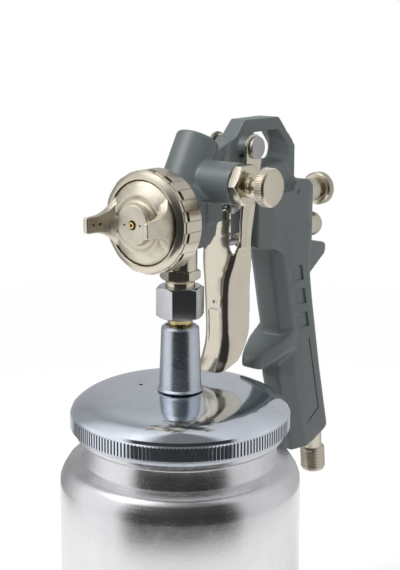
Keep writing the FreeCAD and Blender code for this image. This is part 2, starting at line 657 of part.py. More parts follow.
def trigger_loft(inset, reach):
    """Return the finger part's solid, inset by a wall thickness and open to the rear."""
    wires = []
    for height, front, rear, narrow, wide in TRIGGER_SECTIONS:
        front, rear = front + inset, rear + reach
        narrow, wide = narrow - inset, wide - inset + reach * 0.12
        points = [V(-narrow, front, height), V(narrow, front, height)]
        points += [V(wide, rear, height), V(-wide, rear, height)]
        wires.append(Part.makePolygon(points + points[:1]))
    return Part.makeLoft(wires, True, True)


def trigger():
    """Make the pressed trigger: two ears, a web with the needle's hole and the finger part."""
    span, wall = float(size.ear_span), float(size.wall)
    pivot = (float(size.pivot_y), float(size.pivot_z))
    ears = slab(EAR_CORNERS, span).fuse(rod(6.3, (-span, *pivot), (span, *pivot)))
    ears = ears.cut(slab([(20, 40), (60, 40), (60, -22), (20, -22)], span - wall))
    finger = trigger_loft(0, 0).cut(trigger_loft(wall, 8))
    for side in (1, -1):
        points = [V(side * x, 20, z) for x, z in TONGUE_SLOT]
        finger = finger.cut(Part.Face(Part.makePolygon(points + points[:1])).extrude(V(0, 30, 0)))
    shape = ears.fuse(finger)
    holes = [rod(float(size.pin_radius) + float(size.fit), (-span - 1, *pivot), (span + 1, *pivot))]
    holes.append(rod(2.2, (0, 28, 0), (0, 42, 0)))
    holes.append(slab([(28, 0), (42, 0), (42, 8), (28, 8)], 2.2))
    keep(place(solid_feature("TriggerPressing", shape.cut(holes).removeSplitter())), "trigger")


def trigger_pivot():
    """Make the headed pin and the clip that holds it."""
    span = size.ear_span
    pin = [(0, -(span + 2.6)), (size.pin_radius - 0.4, -(span + 2.6)), (size.pin_radius, -(span + 2.2))]
    pin += [(size.pin_radius, span + 0.2), (size.pin_head, span + 0.2), (size.pin_head, span + 1.7)]
    pin += [(size.pin_head - 0.4, span + 2.1), (0, span + 2.1)]
    keep(place(turned("TriggerPin", pin), LEFTWARD, y=size.pivot_y, z=size.pivot_z), "trigger_pin")
    clip = turned("TriggerClip", bored(4.6, size.pin_radius, -(span + 1.4), -(span + 0.3)))
    keep(place(clip, LEFTWARD, y=size.pivot_y, z=size.pivot_z), "trigger_clip")


# ------------------------------------------------------------------ air valve and inlet

def air_valve():
    """Make the valve in the rear block: gland, stem, seat, spring and domed cap."""
    height = size.air_z
    gland = [(1.65, 43.4), (3.3, 43.4), (3.6, 43.8), (3.6, 52.0), (1.65, 52.0)]
    keep(place(turned("ValveGland", gland), REARWARD, z=height), "air_valve_gland")
    stem = [(0, 34.4), (1.2, 34.4), (1.6, 34.9), (1.6, 74.2), (4.0, 75.4), (4.0, 77.4), (1.5, 77.4)]
    stem += [(1.5, 80.0), (0, 80.0)]
    keep(place(turned("ValveStem", stem), REARWARD, z=height), "air_valve_stem")
    seat = [(3.0, 71.2), (5.6, 71.2), (5.6, 74.2), (3.6, 74.2), (3.0, 73.2)]
    keep(place(turned("ValveSeat", seat), REARWARD, z=height), "air_valve_seat")
    spring = solid_feature("ValveCoil", coil(2.7, 0.45, 12.9, 6))
    keep(place(spring, REARWARD, y=77.7, z=height), "air_valve_spring")
    cap = [(0, 91.0), (5.6, 91.0), (5.6, 96.9), (6.3, 96.9), (6.3, 105.2), Through(4.7, 108.6)]
    cap += [(1.2, 109.9), (0, 109.9)]
    keep(place(turned("ValveCap", cap), REARWARD, z=height), "air_valve_cap")


def air_nipple():
    """Make the threaded air inlet at the grip's foot, leaning with the grip."""
    neck, thread = size.nipple_neck, size.nipple_radius
    bottom = size.nipple_length + 14.2
    outline = [(3.2, -6.0), (4.6, -6.0), (4.6, 1.6), (neck, 1.6), (neck, 13.0), (thread, 14.2)]
    outline += [(thread, bottom - 0.8), (thread - 0.8, bottom), (3.2, bottom)]
    nipple = turned("AirNipple", outline)
    lean = FreeCAD.Rotation(V(0, 0, 1), V(0, 0.1, -0.995))
    keep(place(nipple, lean, y=109.6, z=-125.6), "air_nipple")


# ------------------------------------------------------------------ fluid line and cup

def fluid_line():
    """Make the connector under the head, the swivel nut and the ferrule that it clamps."""
    thread, round_part = size.thread_radius, size.connector_radius
    barrel = [(3.5, -42.2), (6.2, -42.2), (thread, -41.6), (thread, -29.6), (5.8, -28.6), (5.8, -24.2)]
    barrel += [(round_part, -24.2), (round_part, -14.6), (6.5, -14.6), (6.5, -5.2), (3.5, -5.2)]
    flats = hexagon("ConnectorFlats", size.connector_hex, -28.6, -24.0, turn=35.0)
    flats = cut("ConnectorFlatsBored", flats, drill("ConnectorBore", 3.5, -30, -20))
    keep(place(fused("Connector", turned("ConnectorBarrel", barrel), flats)), "fluid_connector")
    nut = hexagon("SwivelFlats", size.swivel_hex, -45.9, -31.5, 1.1, turn=50.8)
    bores = fused("SwivelBores", drill("SwivelThread", size.thread_radius + size.gap, -44.2, -30),
                  drill("SwivelLip", 5.9, -47, -40))
    keep(place(cut("SwivelNut", nut, bores)), "swivel_nut")
    ferrule = [(3.0, -62.0), (5.0, -62.0), (5.0, -49.6), (5.6, -49.6), (5.6, -44.0), (6.5, -44.0)]
    ferrule += [(6.5, -42.8), (5.6, -42.4), (3.0, -42.4)]
    keep(place(turned("Ferrule", ferrule)), "stem_ferrule")


def lid_group():
    """Make the stem, the domed lid with its vent, the gasket and the pickup tube."""
    foot = size.lid_apex + 0.3
    bead, top = size.bead_radius, size.stem_top
    stem = [(5.0, foot - 3.0), (8.0, foot - 3.0), (8.0, foot), (bead, foot), (bead, foot + 0.9)]
    stem += [(size.stem_foot, foot + 1.3), (top, -50.4), (top - 0.8, -49.7), (6.6, -49.7), (6.4, -50.6)]
    stem.append((5.0, -50.6))
    keep(place(turned("LidStem", stem)), "lid_stem")
    edge, wall, rim = size.lid_edge, size.lid_wall, size.lid_radius
    band = edge - size.lid_band
    inside = size.crest_radius + 0.7
    apex = size.lid_apex
    lid = [(8.05, apex), Through(25.5, apex - 0.5), (40.0, apex - 1.9), Through(46.4, apex - 4.6)]
    lid += [(rim - 0.6, apex - 8.0), (rim - 0.5, edge), (rim, edge - 0.2), (rim, band), (inside, band)]
    lid.append((inside, edge - 0.4))
    lid += [Through(44.6, apex - 5.9), (39.4, apex - 3.6), Through(25.2, apex - 2.2), (8.05, apex - wall)]
    lid_body = turned("LidDome", lid)
    vent = drill("LidVent", 0.9, -95, -75)
    vent.setExpression(".Placement.Base.x", "-26")
    vent.setExpression(".Placement.Base.y", "3")
    keep(place(cut("Lid", lid_body, vent)), "cup_lid")
    keep(place(turned("Gasket", bored(46.9, 41.5, edge - 3.2, edge - 1.7))), "lid_gasket")
    keep(place(solid_feature("PickupTube", tube_shape())), "pickup_tube")


def tube_shape():
    """Return the pickup tube: straight down the stem, then leaning forward in the cup."""
    turn, radius = math.radians(14), 60.0
    top, bend = V(0, 0, -62.4), V(0, 0, -98.0)
    centre = bend + V(0, -radius, 0)
    middle = centre + V(0, radius * math.cos(turn / 2), -radius * math.sin(turn / 2))
    after = centre + V(0, radius * math.cos(turn), -radius * math.sin(turn))
    finish = after + V(0, -math.sin(turn), -math.cos(turn)) * 101.0
    edges = [Part.makeLine(top, bend), Part.Arc(bend, middle, after).toShape()]
    path = Part.Wire(edges + [Part.makeLine(after, finish)])
    shells = []
    for radius in (float(size.tube_radius) - 0.02, float(size.tube_radius) - 1.0):
        section = Part.Wire([Part.makeCircle(radius, top, V(0, 0, 1))])
        shells.append(path.makePipeShell([section], True, False))
    return shells[0].cut(shells[1])


def cup():
    """Make the spun aluminium cup with its rolled thread and waisted neck."""
    wall, side, base = size.cup_wall, size.cup_radius, size.cup_base
    floor = -size.spray_height
    neck, crest = size.neck_radius, size.crest_radius
    top = size.lid_edge - 3.3
    outer = [(0, floor), (base - 12, floor), (base - 11, floor + 0.8), (base - 8, floor + 0.8)]
    outer += [(base - 7, floor), (base, floor)]
    outer += [Through(side - 1.2, floor + 1.2), (side, floor + 4), (side, -119.5)]
    outer += [Through(side - 2.2, -114.6), (50, -112.2), (neck + 0.8, -110.0), (neck, -108)]
    outer += [(neck, -102), (crest - 0.9, -100.4), (crest, -99.2)]
    outer += [(crest, -98.0), (crest - 1, -96.8), (46.2, -96.0), (46.2, top)]
    inner = [(46.2 - wall, top), (46.2 - wall, -95.8), (46.2 - wall, -98.6), (neck - wall, -102.4)]
    inner += [(neck - wall, -109.4), (49.4, -113.6), (side - wall, -119.5), (side - wall, floor + 5)]
    inner += [Through(side - 2.9, floor + 2.9), (base - 1, floor + 2.6), (0, floor + 2.6)]
    keep(place(turned("Cup", outer + inner)), "cup")


# ------------------------------------------------------------------ build, test and write

def check_document():
    """Stop if any object failed or any piece has no sound shape."""
    for item in doc.Objects:
        if "Invalid" in item.State or "Error" in item.State:
            raise RuntimeError(f"{item.Name} failed: {item.State}")
    for piece in pieces:
        shape = piece.Shape
        if shape.isNull() or not shape.isValid() or shape.Volume <= 0:
            raise RuntimeError(f"{piece.Label} has no sound shape")


def write_steps():
    """Write one STEP file for each piece."""
    os.makedirs("parts", exist_ok=True)
    for piece in pieces:
        piece.Shape.exportStep(f"parts/{piece.Label}.step")
        box = piece.Shape.BoundBox
        count = len(piece.Shape.Solids)
        print(f"{piece.Label:20s} {count} solid {piece.Shape.Volume:10.1f} mm3")
        print(f"    y {box.YMin:7.1f} {box.YMax:7.1f} z {box.ZMin:7.1f} {box.ZMax:7.1f}")


for make in (gun_body, air_cap_ring, air_cap, fluid_nozzle, air_baffle, needle_group, fluid_control,
             pattern_control, trigger, trigger_pivot, air_valve, air_nipple, fluid_line, lid_group, cup):
    make()
doc.recompute()
check_document()
write_steps()
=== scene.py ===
"""Looks of the paint spray gun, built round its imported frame.

Lengths in the sub-assemblies are in millimetres and become metres where a mesh is made.
Heights are above the bench; the spray axis runs along -Y at SPRAY_HEIGHT.
"""
import logging
import math
from collections.abc import Callable
from dataclasses import dataclass, field
from enum import Enum
from functools import cache

import bpy
from mathutils import Euler, Matrix, Vector


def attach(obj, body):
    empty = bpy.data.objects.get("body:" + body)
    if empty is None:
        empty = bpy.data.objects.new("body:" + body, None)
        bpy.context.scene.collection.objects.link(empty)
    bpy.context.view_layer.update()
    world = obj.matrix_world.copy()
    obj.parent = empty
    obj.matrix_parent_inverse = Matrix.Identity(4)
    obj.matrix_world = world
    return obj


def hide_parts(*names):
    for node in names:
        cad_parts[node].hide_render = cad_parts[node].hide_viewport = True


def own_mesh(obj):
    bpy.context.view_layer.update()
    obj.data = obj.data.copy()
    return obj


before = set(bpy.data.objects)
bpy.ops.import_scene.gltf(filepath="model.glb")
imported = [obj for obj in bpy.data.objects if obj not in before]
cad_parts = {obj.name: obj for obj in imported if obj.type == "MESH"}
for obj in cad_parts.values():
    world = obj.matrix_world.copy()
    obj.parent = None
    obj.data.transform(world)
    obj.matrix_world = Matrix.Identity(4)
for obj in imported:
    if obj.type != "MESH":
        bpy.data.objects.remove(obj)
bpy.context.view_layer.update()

MM = 0.001
SPRAY_HEIGHT = 226.0
AXIS_RING = 0.0002
WHITE = (1.0, 1.0, 1.0, 1.0)

Outline = list[tuple[float, float]]
Point = tuple[float, float, float]
Colour = tuple[float, float, float]
FaceTest = Callable[[Vector, Vector], bool]

log = logging.getLogger("spray_gun")


class Facing(Enum):
    """The way that a turned piece's own Z axis points in the gun."""

    UP = (0.0, 0.0, 0.0)
    FORWARD = (math.pi / 2, 0.0, 0.0)
    REARWARD = (-math.pi / 2, 0.0, 0.0)
    LEFTWARD = (0.0, math.pi / 2, 0.0)


# ------------------------------------------------------------------ the bench: shaping

def pick(*pieces: bpy.types.Object) -> None:
    """Select only these pieces and make the first one active.

    Args:
        pieces: The objects to select; none leaves nothing selected.
    """
    for other in list(bpy.context.selected_objects):
        other.select_set(False)
    for piece in pieces:
        piece.select_set(True)
    bpy.context.view_layer.objects.active = pieces[0] if pieces else None


def name_new(name: str) -> bpy.types.Object:
    """Name the primitive that was just added, and set its place into its mesh."""
    piece = bpy.context.object
    piece.name = name
    piece.data.name = name
    bpy.ops.object.transform_apply(location=True, rotation=True, scale=True)
    return piece


def settle(piece: bpy.types.Object, facing: Facing, at: Point) -> None:
    """Turn a piece from its own Z axis and move it to its place, in its mesh.

    Args:
        piece: The piece, modelled about the world's Z axis.
        facing: Where its Z axis points.
        at: Where its origin goes, in millimetres.
    """
    pick(piece)
    piece.rotation_euler = facing.value
    piece.location = Vector(at) * MM
    bpy.ops.object.transform_apply(location=True, rotation=True, scale=True)


def tidy_mesh(piece: bpy.types.Object) -> None:
    """Merge doubled points and turn every face outwards."""
    pick(piece)
    bpy.ops.object.mode_set(mode="EDIT")
    bpy.ops.mesh.select_all(action="SELECT")
    bpy.ops.mesh.remove_doubles(threshold=1e-6)
    bpy.ops.mesh.normals_make_consistent(inside=False)
    bpy.ops.object.mode_set(mode="OBJECT")


def turned(name: str, outline: Outline, steps: int = 96, facing: Facing = Facing.UP,
           at: Point = (0.0, 0.0, SPRAY_HEIGHT)) -> bpy.types.Object:
    """Turn a piece ring by ring from a closed outline.

    Args:
        name: The piece's name.
        outline: (radius, height) corners in millimetres, in order round the section.
        steps: How many sides each ring has.
        facing: Where the turning axis points.
        at: The place of height 0 on that axis.

    Returns:
        The closed piece, in place.
    """
    pick()
    radius, height = max(outline[0][0], AXIS_RING), outline[0][1]
    bpy.ops.mesh.primitive_circle_add(vertices=steps, radius=radius * MM, location=(0, 0, height * MM))
    piece = name_new(name)
    bpy.ops.object.mode_set(mode="EDIT")
    bpy.ops.mesh.select_all(action="SELECT")
    for corner_radius, corner_height in outline[1:] + outline[:1]:
        wanted = max(corner_radius, AXIS_RING)
        lift = (0.0, 0.0, (corner_height - height) * MM)
        bpy.ops.mesh.extrude_edges_move(TRANSFORM_OT_translate={"value": lift})
        scale = wanted / radius
        bpy.ops.transform.resize(value=(scale, scale, 1.0), center_override=(0, 0, corner_height * MM))
        radius, height = wanted, corner_height
    bpy.ops.object.mode_set(mode="OBJECT")
    tidy_mesh(piece)
    settle(piece, facing, at)
    return piece


def lofted(name: str, loops: list[list[Point]]) -> bpy.types.Object:
    """Stretch a skin over closed loops of equal length and close both ends.

    Args:
        name: The piece's name.
        loops: The loops in order, each a list of points in millimetres.

    Returns:
        The closed piece, in place.
    """
    pick()
    around, rows = len(loops[0]), len(loops) - 1
    bpy.ops.mesh.primitive_grid_add(x_subdivisions=around, y_subdivisions=rows, size=2.0)
    piece = name_new(name)
    for vertex in piece.data.vertices:
        place = round((vertex.co.x + 1) / 2 * around) % around
        row = round((vertex.co.y + 1) / 2 * rows)
        vertex.co = Vector(loops[row][place]) * MM
    tidy_mesh(piece)
    bpy.ops.object.mode_set(mode="EDIT")
    bpy.ops.mesh.select_all(action="SELECT")
    bpy.ops.mesh.fill_holes(sides=0)
    bpy.ops.object.mode_set(mode="OBJECT")
    tidy_mesh(piece)
    return piece


def plate(name: str, corners: Outline, low: float, high: float) -> bpy.types.Object:
    """Cut a plate to a side view and give it its width along X.

    Args:
        name: The piece's name.
        corners: (y, height above the spray axis) corners in millimetres.
        low: Its right side's X in millimetres.
        high: Its left side's X in millimetres.

    Returns:
        The closed plate, in place.
    """
    pick()
    bpy.ops.mesh.primitive_circle_add(vertices=len(corners), fill_type="NGON")
    piece = name_new(name)
    for vertex, (y, z) in zip(piece.data.vertices, corners):
        vertex.co = Vector((low, y, z + SPRAY_HEIGHT)) * MM
    bpy.ops.object.mode_set(mode="EDIT")
    bpy.ops.mesh.select_all(action="SELECT")
    bpy.ops.mesh.extrude_region_move(TRANSFORM_OT_translate={"value": ((high - low) * MM, 0.0, 0.0)})
    bpy.ops.object.mode_set(mode="OBJECT")
    tidy_mesh(piece)
    return piece


def bar(name: str, radius: float, start: Point, end: Point) -> bpy.types.Object:
    """Make a round bar between two points, in millimetres from the spray axis's height."""
    pick()
    lift = Vector((0.0, 0.0, SPRAY_HEIGHT))
    first, last = Vector(start) + lift, Vector(end) + lift
    run = last - first
    bpy.ops.mesh.primitive_cylinder_add(
        vertices=32, radius=radius * MM, depth=run.length * MM,
        location=(first + last) / 2 * MM, rotation=run.to_track_quat("Z", "Y").to_euler())
    return name_new(name)


def changed(piece: bpy.types.Object, kind: str, **settings: object) -> None:
    """Add one modifier with its settings and apply it."""
    pick(piece)
    modifier = piece.modifiers.new("Change", kind)
    for setting, value in settings.items():
        setattr(modifier, setting, value)
    bpy.ops.object.modifier_apply(modifier=modifier.name)


def cut_away(piece: bpy.types.Object, *cutters: bpy.types.Object, solver: str = "EXACT") -> None:
    """Cut the cutters' shapes out of a piece and remove the cutters."""
    for cutter in cutters:
        changed(piece, "BOOLEAN", operation="DIFFERENCE", object=cutter, solver=solver)
        bpy.data.objects.remove(cutter)


def joined(piece: bpy.types.Object, *others: bpy.types.Object) -> bpy.types.Object:
    """Put other pieces' meshes into the first one."""
    pick(piece, *others)
    bpy.ops.object.join()
    return piece


def choose_faces(piece: bpy.types.Object, test: FaceTest) -> None:
    """Enter edit mode with only the faces that pass a test selected.

    Args:
        piece: The piece.
        test: Takes a face's centre in millimetres and its normal.
    """
    pick(piece)
    mesh = piece.data
    for elements in (mesh.vertices, mesh.edges, mesh.polygons):
        elements.foreach_set("select", [False] * len(elements))
    for face in mesh.polygons:
        face.select = test(face.center / MM, face.normal)
    bpy.ops.object.mode_set(mode="EDIT")
    bpy.ops.mesh.select_mode(type="FACE")


def raise_faces(piece: bpy.types.Object, test: FaceTest, gap: float, depth: float, each: bool = True) -> None:
    """Raise the chosen faces and leave a sloping edge round them.

    Args:
        piece: The piece.
        test: Chooses the faces.
        gap: Width of the slope round a face, in millimetres.
        depth: How far the faces rise, in millimetres; negative sinks them.
        each: Whether every face is raised on its own.
    """
    choose_faces(piece, test)
    bpy.ops.mesh.inset(thickness=gap * MM, depth=depth * MM, use_individual=each)
    bpy.ops.object.mode_set(mode="OBJECT")


def smooth(piece: bpy.types.Object, degrees: float = 30.0) -> None:
    """Shade a piece smooth, with edges sharper than an angle left crisp."""
    pick(piece)
    bpy.ops.object.shade_smooth_by_angle(angle=math.radians(degrees))


def eased(piece: bpy.types.Object, width: float, degrees: float = 30.0) -> None:
    """Round a piece's sharp edges a little and shade it."""
    changed(piece, "BEVEL", width=width * MM, segments=2, limit_method="ANGLE",
            angle_limit=math.radians(degrees), use_clamp_overlap=True, miter_outer="MITER_ARC")
    smooth(piece, 40.0)


def cast(piece: bpy.types.Object, grain: float, rounds: int) -> None:
    """Turn a piece into one skin with blended edges, as a casting or forging has.

    Args:
        piece: The piece, which may be several closed shells that meet.
        grain: Spacing of the skin's points in millimetres.
        rounds: How often the skin is smoothed; more rounds give softer edges.
    """
    changed(piece, "REMESH", mode="VOXEL", voxel_size=grain * MM, use_smooth_shade=True)
    if rounds:
        changed(piece, "SMOOTH", factor=0.5, iterations=rounds)


def copied(node: str, name: str) -> bpy.types.Object:
    """Copy a CAD node's mesh into a new merged piece."""
    piece = bpy.data.objects.new(name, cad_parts[node].data.copy())
    bpy.context.scene.collection.objects.link(piece)
    tidy_mesh(piece)
    return piece


# ------------------------------------------------------------------ shader maths

class Value:
    """A number that varies over a surface; operators on it add Math nodes."""

    def __init__(self, shader: "Nodes", socket: bpy.types.NodeSocket) -> None:
        """Wrap one output socket of a tree."""
        self.shader = shader
        self.socket = socket

    def made(self, operation: str, *operands: "Value | float") -> "Value":
        """Add one Math node on these operands and return its result."""
        node = self.shader.add("ShaderNodeMath", {"operation": operation}, dict(enumerate(operands)))
        return Value(self.shader, node.outputs[0])

    def __add__(self, other: "Value | float") -> "Value":
        """Return self + other."""
        return self.made("ADD", self, other)

    def __radd__(self, other: float) -> "Value":
        """Return other + self."""
        return self.made("ADD", other, self)

    def __sub__(self, other: "Value | float") -> "Value":
        """Return self - other."""
        return self.made("SUBTRACT", self, other)

    def __rsub__(self, other: float) -> "Value":
        """Return other - self."""
        return self.made("SUBTRACT", other, self)

    def __mul__(self, other: "Value | float") -> "Value":
        """Return self * other."""
        return self.made("MULTIPLY", self, other)

    def __rmul__(self, other: float) -> "Value":
        """Return other * self."""
        return self.made("MULTIPLY", other, self)

    def __pow__(self, power: float) -> "Value":
        """Return self raised to a power."""
        return self.made("POWER", self, power)

    def within(self, low: float = 0.0, high: float = 1.0) -> "Value":
        """Return self kept between two numbers."""
        return self.made("MINIMUM", self.made("MAXIMUM", self, low), high)

    def steep(self, low: float, high: float) -> "Value":
        """Return 0 below low, 1 above high and a straight rise between."""
        return ((self - low) * (1.0 / (high - low))).within()


class Nodes:
    """A node tree, with a single way to add any node."""

    def __init__(self, tree: bpy.types.NodeTree) -> None:
        """Work in a material's or a world's tree."""
        self.tree = tree

    def add(self, kind: str, settings: dict | None = None, values: dict | None = None) -> bpy.types.Node:
        """Add a node.

        Args:
            kind: The node's type.
            settings: Its own settings, set first; "stops" fills a ramp.
            values: Numbers, links or Values for its inputs, by name or place.

        Returns:
            The node.
        """
        node = self.tree.nodes.new(kind)
        for setting, value in (settings or {}).items():
            setattr(node, setting, value)
        for key, value in (values or {}).items():
            self.put(node.inputs[key], value)
        return node

    def put(self, socket: bpy.types.NodeSocket, value: object) -> None:
        """Set a socket to a number, or link a Value or another socket to it."""
        value = value.socket if isinstance(value, Value) else value
        if isinstance(value, bpy.types.NodeSocket):
            self.tree.links.new(value, socket)
        else:
            socket.default_value = value

    def place(self) -> bpy.types.NodeSocket:
        """Return the point's place in the gun, in metres."""
        return self.add("ShaderNodeTexCoord").outputs["Object"]

    def axes(self, vector: bpy.types.NodeSocket) -> list[Value]:
        """Return a vector's three parts."""
        parts = self.add("ShaderNodeSeparateXYZ", None, {0: vector})
        return [Value(self, output) for output in parts.outputs]

    def seen(self) -> Value:
        """Return 1 for rays from the camera, from gloss and through clear pieces, and 0 for others."""
        ray = self.add("ShaderNodeLightPath")
        kinds = [Value(self, ray.outputs[f"Is {kind} Ray"]) for kind in ("Camera", "Glossy", "Transmission")]
        return (kinds[0] + kinds[1] + kinds[2]).within()

    def glow(self, colour: object) -> bpy.types.NodeSocket:
        """Return a plain glow of a colour."""
        return self.add("ShaderNodeEmission", None, {"Color": colour, "Strength": 1.0}).outputs[0]


class Shader(Nodes):
    """One material's tree round its Principled shader."""

    def __init__(self, name: str) -> None:
        """Start a material with a Principled shader."""
        self.material = bpy.data.materials.new(name)
        self.material.use_nodes = True
        super().__init__(self.material.node_tree)
        self.surface = self.tree.nodes["Principled BSDF"]

    def show(self, output: bpy.types.NodeSocket) -> None:
        """Show this output in place of the Principled shader."""
        self.put(self.tree.nodes["Material Output"].inputs["Surface"], output)

    def noise(self, size: float, detail: float = 2.0, vector: object = None) -> Value:
        """Return cloudy noise whose features are about `size` millimetres across."""
        where = vector if vector is not None else self.place()
        node = self.add("ShaderNodeTexNoise", {"noise_dimensions": "3D"},
                        {"Vector": where, "Scale": 1.0 / (size * MM), "Detail": detail})
        return Value(self, node.outputs["Factor" if "Factor" in node.outputs else "Fac"])

    def between(self, factor: Value, first: Colour, second: Colour) -> bpy.types.NodeSocket:
        """Return a colour that goes from first to second with the factor."""
        node = self.add("ShaderNodeMix", {"data_type": "RGBA"}, {0: factor, 6: (*first, 1), 7: (*second, 1)})
        return node.outputs[2]

    def relief(self, height: Value, depth: float, strength: float = 1.0) -> None:
        """Let a height texture stand `depth` millimetres proud of the surface."""
        bump = self.add("ShaderNodeBump", None,
                        {"Height": height, "Distance": depth * MM, "Strength": strength})
        self.put(self.surface.inputs["Normal"], bump.outputs[0])

    def set(self, **values: object) -> None:
        """Set or link inputs of the Principled shader; underscores stand for spaces."""
        for key, value in values.items():
            self.put(self.surface.inputs[key.replace("_", " ")], value)


class Marks(Enum):
    """What the tool left on a metal surface, as the turning of the marks' axis onto Z."""

    NONE = None
    ROUND_X = (0.0, -math.pi / 2, 0.0)
    ROUND_Y = (-math.pi / 2, 0.0, 0.0)
    ROUND_Z = (0.0, 0.0, 0.0)


@dataclass(frozen=True)
class Metal:
    """A bare or plated metal finish.

    Attributes:
        name: The material's name.
        slot: Name of its material slot; not used.
        colour: Its reflected colour.
        roughness: How far it is from a mirror.
        tone: Share by which its colour drifts.
        grain: Depth of blasted grain in millimetres.
        grain_size: Size of that grain in millimetres.
        marks: Which way round tool marks run.
        centre: A point on the marks' axis in millimetres.
        mark_depth: Depth of the marks in millimetres.
        wave: Depth of slow waviness from polishing by hand, in millimetres.
    """

    name: str
    slot: str
    colour: Colour
    roughness: float
    tone: float = 0.08
    grain: float = 0.0
    grain_size: float = 0.3
    marks: Marks = Marks.NONE
    centre: Point = (0.0, 0.0, SPRAY_HEIGHT)
    mark_depth: float = 0.004
    wave: float = 0.0

    @cache
    def material(self) -> bpy.types.Material:
        """Return the finish's material, made once."""
        shader = Shader(self.name)
        drift = shader.noise(9.0, 3.0)
        speck = shader.noise(self.grain_size, 3.0)
        streak = self.streaks(shader)
        dark = tuple(channel * (1 - self.tone) for channel in self.colour)
        light = tuple(min(1.0, channel * (1 + self.tone)) for channel in self.colour)
        blend = (drift * 0.6 + speck * 0.4).steep(0.32, 0.68)
        spread = min(0.12, self.roughness * 0.5)
        rough = self.roughness + (drift - 0.5) * spread + (speck - 0.5) * spread
        height = speck * self.grain + drift * self.wave
        if streak is not None:
            rough = rough + (streak - 0.5) * spread
            height = height + streak * self.mark_depth
        shader.set(Base_Color=shader.between(blend, dark, light), Metallic=1.0,
                   Roughness=rough.within(0.03, 0.9))
        shader.relief(height, 1.0)
        return shader.material

    def streaks(self, shader: Shader) -> Value | None:
        """Return fine rings about the marks' axis, or nothing where no tool left any."""
        if self.marks is Marks.NONE:
            return None
        shift = tuple(-value * MM for value in self.centre)
        moved = shader.add("ShaderNodeVectorMath", {"operation": "ADD"}, {0: shader.place(), 1: shift})
        spun = shader.add("ShaderNodeMapping", {"vector_type": "POINT"},
                          {"Vector": moved.outputs[0], "Rotation": self.marks.value})
        across, along, up = shader.axes(spun.outputs[0])
        radius = (across * across + along * along) ** 0.5
        ring = shader.add("ShaderNodeCombineXYZ", None, {0: radius, 1: up * 0.6, 2: 0.0})
        return shader.noise(0.16, 2.0, ring.outputs[0])


@dataclass(frozen=True)
class Paint:
    """A satin paint over a cast surface.

    Attributes:
        name: The material's name.
        slot: Name of its material slot; not used.
        colour: Its colour.
        roughness: Its gloss, from 0 for a mirror to 1 for chalk.
        peel: Depth of the paint's slight unevenness in millimetres.
    """

    name: str
    slot: str
    colour: Colour
    roughness: float
    peel: float

    @cache
    def material(self) -> bpy.types.Material:
        """Return the finish's material, made once."""
        shader = Shader(self.name)
        drift = shader.noise(14.0, 3.0)
        fine = shader.noise(0.35, 3.0)
        peel = shader.noise(1.6, 2.0)
        dark = tuple(channel * 0.93 for channel in self.colour)
        light = tuple(channel * 1.08 for channel in self.colour)
        blend = (drift * 0.5 + fine * 0.5).steep(0.35, 0.65)
        rough = self.roughness + (drift - 0.5) * 0.12 + (fine - 0.5) * 0.14
        shader.set(Base_Color=shader.between(blend, dark, light), Roughness=rough.within(0.2, 0.8),
                   Coat_Weight=0.12, Coat_Roughness=0.3)
        shader.relief(peel * self.peel + fine * (self.peel * 0.35), 1.0)
        return shader.material


@dataclass(frozen=True)
class Plastic:
    """A plain rubber or plastic finish for seals.

    Attributes:
        name: The material's name.
        slot: Name of its material slot; not used.
        colour: Its colour.
        roughness: Its gloss.
    """

    name: str
    slot: str
    colour: Colour
    roughness: float

    @cache
    def material(self) -> bpy.types.Material:
        """Return the finish's material, made once."""
        shader = Shader(self.name)
        fine = shader.noise(0.5, 3.0)
        dark = tuple(channel * 0.9 for channel in self.colour)
        shader.set(Base_Color=shader.between(fine, dark, self.colour),
                   Roughness=(self.roughness + (fine - 0.5) * 0.15).within())
        shader.relief(fine, 0.01)
        return shader.material


Finish = Metal | Paint | Plastic

WARM_NICKEL = (0.67, 0.62, 0.51)
PLAIN_STEEL = (0.56, 0.56, 0.55)
SATIN_GREY = Paint("satin_grey_paint", "body_paint", (0.088, 0.104, 0.105), 0.38, 0.022)
BLASTED_NICKEL = Metal("blasted_nickel", "nickel_blasted", (0.67, 0.62, 0.51), 0.34, 0.20, 0.10, 0.55)
RING_NICKEL = Metal("ring_nickel", "nickel", WARM_NICKEL, 0.22, 0.05, 0.001, marks=Marks.ROUND_Y)
KNOB_NICKEL = Metal("knob_nickel", "nickel", WARM_NICKEL, 0.30, 0.06, 0.003, marks=Marks.ROUND_X,
                    centre=(0.0, 7.9, SPRAY_HEIGHT + 15.5))
VALVE_NICKEL = Metal("valve_nickel", "nickel", WARM_NICKEL, 0.17, 0.05, 0.001, marks=Marks.ROUND_X,
                     centre=(0.0, 7.9, SPRAY_HEIGHT + 15.5))
REAR_NICKEL = Metal("rear_nickel", "nickel", WARM_NICKEL, 0.24, 0.05, 0.001, marks=Marks.ROUND_Y)
VALVE_CAP_NICKEL = Metal("valve_cap_nickel", "nickel", WARM_NICKEL, 0.20, 0.05, 0.001, marks=Marks.ROUND_Y,
                         centre=(0.0, 0.0, SPRAY_HEIGHT - 17.5))
INLET_NICKEL = Metal("inlet_nickel", "nickel", WARM_NICKEL, 0.34, 0.08, 0.006)
CONNECTOR_NICKEL = Metal("connector_nickel", "nickel", WARM_NICKEL, 0.16, 0.05, 0.001, marks=Marks.ROUND_Z)
PRESSED_NICKEL = Metal("pressed_nickel", "trigger_nickel", (0.68, 0.63, 0.52), 0.13, 0.05, 0.002, 0.4,
                       wave=0.05)
GROUND_STEEL = Metal("ground_steel", "steel", PLAIN_STEEL, 0.34, 0.06, 0.002)
PIN_STEEL = Metal("pin_steel", "steel", (0.44, 0.44, 0.43), 0.38, 0.06, 0.004, marks=Marks.ROUND_X,
                  centre=(0.0, 40.2, SPRAY_HEIGHT + 27.7))
